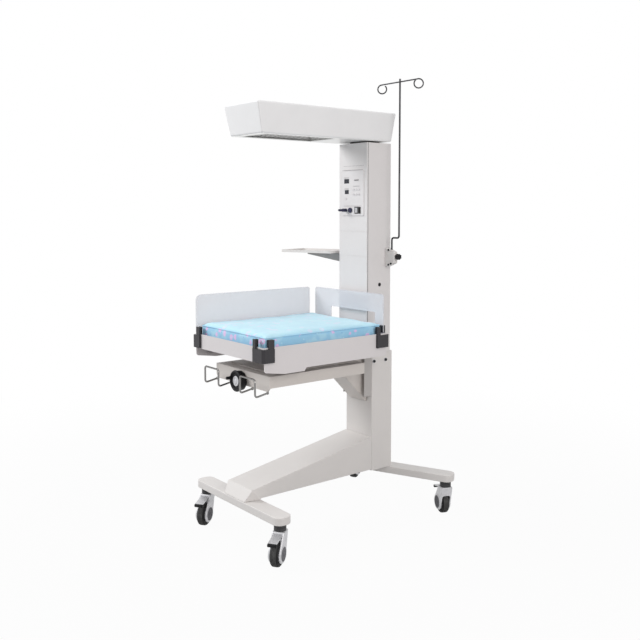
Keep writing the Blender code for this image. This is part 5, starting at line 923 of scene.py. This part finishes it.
class WARMER_OT_console(bpy.types.Operator):
    """Make the console's keys, marks, digits and rocker bezel"""

    bl_idname = "warmer.console"
    bl_label = "Console"

    def execute(self, context):
        settings = context.scene.warmer_console
        colours = context.scene.warmer_colours
        moulded("key_film", colours.key_film, 0.45, grain=1200.0, depth=0.00004)
        moulded("mark_ink", colours.ink, 0.5, grain=1500.0, depth=0.00002, gloss=0.2)
        moulded("segment_grey", colours.segment, 0.3, grain=1500.0, depth=0.00002)
        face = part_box("display_upper")[0].y - FACE_STEP
        self.make_keys(settings, face)
        self.make_marks(settings, face)
        self.make_digits()
        self.make_bezel()
        return {"FINISHED"}

    def make_keys(self, settings, face):
        """Round membrane keys with a raised rim."""
        radius = settings.key_radius
        key = [(0, 0.0005), (radius * 0.7, 0.0005), (radius * 0.8, 0.0010), (radius, 0.0006)]
        key += [(radius, -0.0004), (0, -0.0004)]
        places = [on_front(face, across, drop) for across, drop in KEYS]
        spun_piece("console_keys", "key_film", "frame", key, places, 24)

    def make_marks(self, settings, face):
        """The fine printed lines on the console, a painted shadow line along its top edge, and the faint
        rule above it.
        """
        boxes = [
            ((width, height, settings.relief * 2), on_front(place, across, drop))
            for place, bars in ((face, BARS), (HOUSING_LOW.y, HOUSING_BARS))
            for across, drop, width, height in bars
        ]
        boxed_piece("console_marks", "mark_ink", "frame", boxes)

    def make_digits(self):
        """Unlit number segments behind the two windows."""
        boxes = []
        for name, count in (("display_upper", 3), ("display_lower", 2)):
            low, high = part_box(name)
            pitch = (high.x - low.x) / count
            wide, tall = pitch * 0.30, (high.z - low.z) * 0.34
            flat = (wide * 1.4, STROKE_DEEP, STROKE)
            upright = (STROKE, STROKE_DEEP, tall * 0.72)
            strokes = [(0, row, flat) for row in (-1, 0, 1)]
            strokes += [(column, row, upright) for column in (-1, 1) for row in (-0.5, 0.5)]
            for digit in range(count):
                middle = Vector((low.x + pitch * (digit + 0.5), low.y, (low.z + high.z) / 2))
                for column, row, size in strokes:
                    place = middle + Vector((column * wide, 0, row * tall))
                    boxes.append((size, Matrix.Translation(place)))
        boxed_piece("display_segments", "segment_grey", "frame", boxes)

    def make_bezel(self):
        """A black bezel round the rocker."""
        low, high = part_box("rocker_switch")
        middle = (low + high) / 2
        middle.y = CONSOLE_LOW.y - BEZEL_PROUD
        reach_x, reach_z = (high.x - low.x) / 2 + BEZEL_GAP, (high.z - low.z) / 2 + BEZEL_GAP
        upright_x = reach_x + (BEZEL_UPRIGHT - BEZEL_LEVEL) / 2
        upright = (BEZEL_UPRIGHT, BEZEL_DEEP, 2 * reach_z + BEZEL_LEVEL)
        level = (2 * reach_x - BEZEL_LEVEL, BEZEL_DEEP, BEZEL_LEVEL)
        boxes = []
        for side in (-1, 1):
            for size, move in ((upright, (side * upright_x, 0, 0)), (level, (0, 0, side * reach_z))):
                boxes.append((size, Matrix.Translation(middle + Vector(move))))
        boxed_piece("rocker_bezel", "black_plastic", "frame", boxes, BEZEL_EDGE)


# Handwheel

# Holes of the disc and the skirt, and the skirt's thickness and front
DISC_BORE, SKIRT_BORE = 0.0125, 0.0130
SKIRT_BACK, SKIRT_LIP = 0.0040, -0.0030


class WarmerHandwheel(bpy.types.PropertyGroup):
    """Sizes of the handwheel's disc and skirt."""

    disc_radius: length("Disc radius", "Radius of the bright disc", 0.0205)
    skirt_radius: length("Skirt radius", "Radius of the skirt's front lip", 0.0415)
    skirt_gap: length("Skirt gap", "From the skirt to the frame", 0.0020)


class WARMER_OT_handwheel(bpy.types.Operator):
    """Make the handwheel's bright disc, centre cap and the deep skirt behind its rim"""

    bl_idname = "warmer.handwheel"
    bl_label = "Handwheel"

    def execute(self, context):
        settings = context.scene.warmer_handwheel
        radius = settings.disc_radius
        disc = chamfered_disc(radius, radius * 0.92, 0.0034, shoulder=0.0028, base=0.0006, bore=DISC_BORE)
        cap = [(0, 0.0072), (0.0060, 0.0068), (0.0105, 0.0052), (0.0120, 0.0030), (0.0120, 0.0020)]
        cap.append((0, 0.0020))
        centre = joint_place("handwheel_turn")
        back = centre.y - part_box("under_frame")[0].y + settings.skirt_gap
        front = back + SKIRT_BACK
        radius = settings.skirt_radius
        outside = [(SKIRT_BORE, back), (radius - 0.0040, back), (radius - 0.0020, back + 0.0020)]
        inside = [(radius - 0.0030, SKIRT_LIP), (radius - 0.0050, front), (SKIRT_BORE, front)]
        skirt = outside + [(radius, SKIRT_LIP)] + inside
        places = [facing(centre, FRONT)]
        spun_piece("handwheel_disc", "caster_alloy", "handwheel", disc, places, 48, closed=True)
        spun_piece("handwheel_cap", "caster_alloy", "handwheel", cap, places, 32)
        spun_piece("handwheel_skirt", "black_plastic", "handwheel", skirt, places, 48, closed=True)
        return {"FINISHED"}


# Stage

PHOTO_SIDE = 640
SENSOR_WIDTH = 36.0
# From the base frame's middle back to the column's front
COLUMN_SETBACK = 0.201
# Height that the lamps point at
AIM_HEIGHT = 0.9
# Place, width and colour of each lamp, under the name of its power
LAMPS = {
    "key": ((-2.6, -3.6, 3.5), 2.4, "cool"),
    "fill": ((3.6, -0.6, 2.0), 2.6, "warm"),
    "top": ((0.2, -0.4, 4.2), 2.4, "cool"),
}


class WarmerStage(bpy.types.PropertyGroup):
    """Camera, lamps and background."""

    camera_place: vector(
        "Camera place", "From the base frame's middle", (2.800, -2.263, 1.360), subtype="TRANSLATION"
    )
    camera_turn: number("Camera turn", "Azimuth", math.radians(51.37), subtype="ANGLE")
    camera_drop: number("Camera drop", "Angle below level", math.radians(4.0), subtype="ANGLE")
    focal: number("Focal length", "In the photo's pixels", 828.0, subtype="PIXEL")
    principal_rise: number("Principal point", "Height above the photo's middle", 51.9, subtype="PIXEL")
    ambient: number("Ambient", "Strength of the surroundings' light", 0.50)
    key: power("Key", "Power of the front left lamp", 156.0)
    fill: power("Fill", "Power of the right lamp", 55.0)
    top: power("Top", "Power of the overhead lamp", 16.0)
    cool: paint("Cool", "Colour of the front left and overhead lamps", (0.99, 0.995, 1.0))
    warm: paint("Warm", "Colour of the right lamp", (1.0, 0.965, 0.945))
    floor_radius: length("Floor radius", "Radius of the round floor", 14.0)
    floor_grey: paint("Floor grey", "Floor as it lights the object", (0.36, 0.36, 0.36))
    floor_soil: paint("Floor soil", "Uneven tone of the floor", (0.34, 0.34, 0.34))
    floor_glow: number("Floor glow", "Share of plain white in the floor", 0.96, subtype="FACTOR")
    floor_fade: vector(
        "Floor fade", "Distances over which the floor turns plain white", (0.9, 3.2), unit="LENGTH", size=2
    )


class WARMER_OT_stage(bpy.types.Operator):
    """Set up the floor, the lamps, the surroundings and the camera"""

    bl_idname = "warmer.stage"
    bl_label = "Stage"

    def execute(self, context):
        settings = context.scene.warmer_stage
        scene = context.scene
        scene.view_settings.view_transform = "Standard"
        self.make_floor(settings)
        self.make_surroundings(scene, settings)
        self.make_lamps(settings)
        self.make_camera(scene, settings)
        return {"FINISHED"}

    def make_floor(self, settings):
        """A pale floor that keeps the object's shadow and turns plain white further away."""
        bm = bmesh.new()
        bmesh.ops.create_circle(bm, cap_ends=True, segments=64, radius=settings.floor_radius)
        floor = linked("floor", filled_mesh("floor", bm))
        finish = Finish("floor_pale", settings.floor_grey, 0.9)
        finish.feed(Base_Color=finish.soil(0.2, settings.floor_soil, 2.0))
        glow = finish.node("ShaderNodeEmission", None, {"Color": WHITE, "Strength": 1.0})
        reach = finish.node("ShaderNodeVectorMath", {"operation": "LENGTH"}, {0: finish.place})
        away = Signal(finish, reach.outputs["Value"]).ramp(*settings.floor_fade)
        plain = settings.floor_glow + (1 - settings.floor_glow) * away
        finish.show("Material Output", finish.seen() * plain, finish.shader, glow)
        floor.data.materials.append(finish.material)

    def make_surroundings(self, scene, settings):
        """Plain light all round, that is white where it is seen."""
        world = bpy.data.worlds.new("surroundings")
        scene.world = world
        world.use_nodes = True
        nodes = Nodes(world.node_tree)
        light = world.node_tree.nodes["Background"]
        nodes.connect(light.inputs["Color"], WHITE)
        nodes.connect(light.inputs["Strength"], settings.ambient)
        backdrop = nodes.node("ShaderNodeBackground", None, {"Color": WHITE, "Strength": 1.0})
        nodes.show("World Output", nodes.seen(), light, backdrop)

    def make_lamps(self, settings):
        aim = Vector((MIDDLE_X, 0, AIM_HEIGHT))
        for name, (place, width, tint) in LAMPS.items():
            data = bpy.data.lights.new(name + "_lamp", "AREA")
            data.shape = "DISK"
            data.size = width
            data.energy = getattr(settings, name)
            data.color = getattr(settings, tint)
            lamp = linked(name + "_lamp", data)
            lamp.location = place
            lamp.rotation_euler = (aim - lamp.location).to_track_quat("-Z", "Y").to_euler()
            lamp.visible_camera = False

    def make_camera(self, scene, settings):
        """The photograph's view, worked out from its pixels."""
        data = bpy.data.cameras.new("photo_view")
        data.sensor_width = SENSOR_WIDTH
        data.lens = settings.focal / PHOTO_SIDE * SENSOR_WIDTH
        data.shift_y = -settings.principal_rise / PHOTO_SIDE
        camera = linked("photo_view", data)
        base_middle = Vector((MIDDLE_X, COLUMN_LOW.y - COLUMN_SETBACK, 0))
        camera.location = base_middle + Vector(settings.camera_place)
        camera.rotation_euler = (math.pi / 2 - settings.camera_drop, 0, settings.camera_turn)
        scene.camera = camera


# Add-on

GROUPS = {
    "warmer_colours": WarmerColours,
    "warmer_mattress": WarmerMattress,
    "warmer_casters": WarmerCasters,
    "warmer_fittings": WarmerFittings,
    "warmer_console": WarmerConsole,
    "warmer_handwheel": WarmerHandwheel,
    "warmer_stage": WarmerStage,
}
OPERATORS = (
    WARMER_OT_finishes, WARMER_OT_mattress, WARMER_OT_casters, WARMER_OT_column_fittings,
    WARMER_OT_console, WARMER_OT_handwheel, WARMER_OT_stage,
)


class WARMER_PT_panel(bpy.types.Panel):
    """Steps that dress the warmer, in order"""

    bl_idname = "WARMER_PT_panel"
    bl_label = "Radiant Warmer"
    bl_space_type = "VIEW_3D"
    bl_region_type = "UI"
    bl_category = "Warmer"

    def draw(self, context):
        for operator in OPERATORS:
            self.layout.operator(operator.bl_idname)


CLASSES = (*GROUPS.values(), *OPERATORS, WARMER_PT_panel)


def register():
    for kind in CLASSES:
        bpy.utils.register_class(kind)
    for name, group in GROUPS.items():
        setattr(bpy.types.Scene, name, PointerProperty(type=group))


def unregister():
    for name in GROUPS:
        delattr(bpy.types.Scene, name)
    for kind in reversed(CLASSES):
        bpy.utils.unregister_class(kind)


def main():
    register()
    bpy.ops.warmer.finishes()
    bpy.ops.warmer.mattress()
    bpy.ops.warmer.casters()
    bpy.ops.warmer.column_fittings()
    bpy.ops.warmer.console()
    bpy.ops.warmer.handwheel()
    bpy.ops.warmer.stage()


if __name__ == "__main__":
    main()
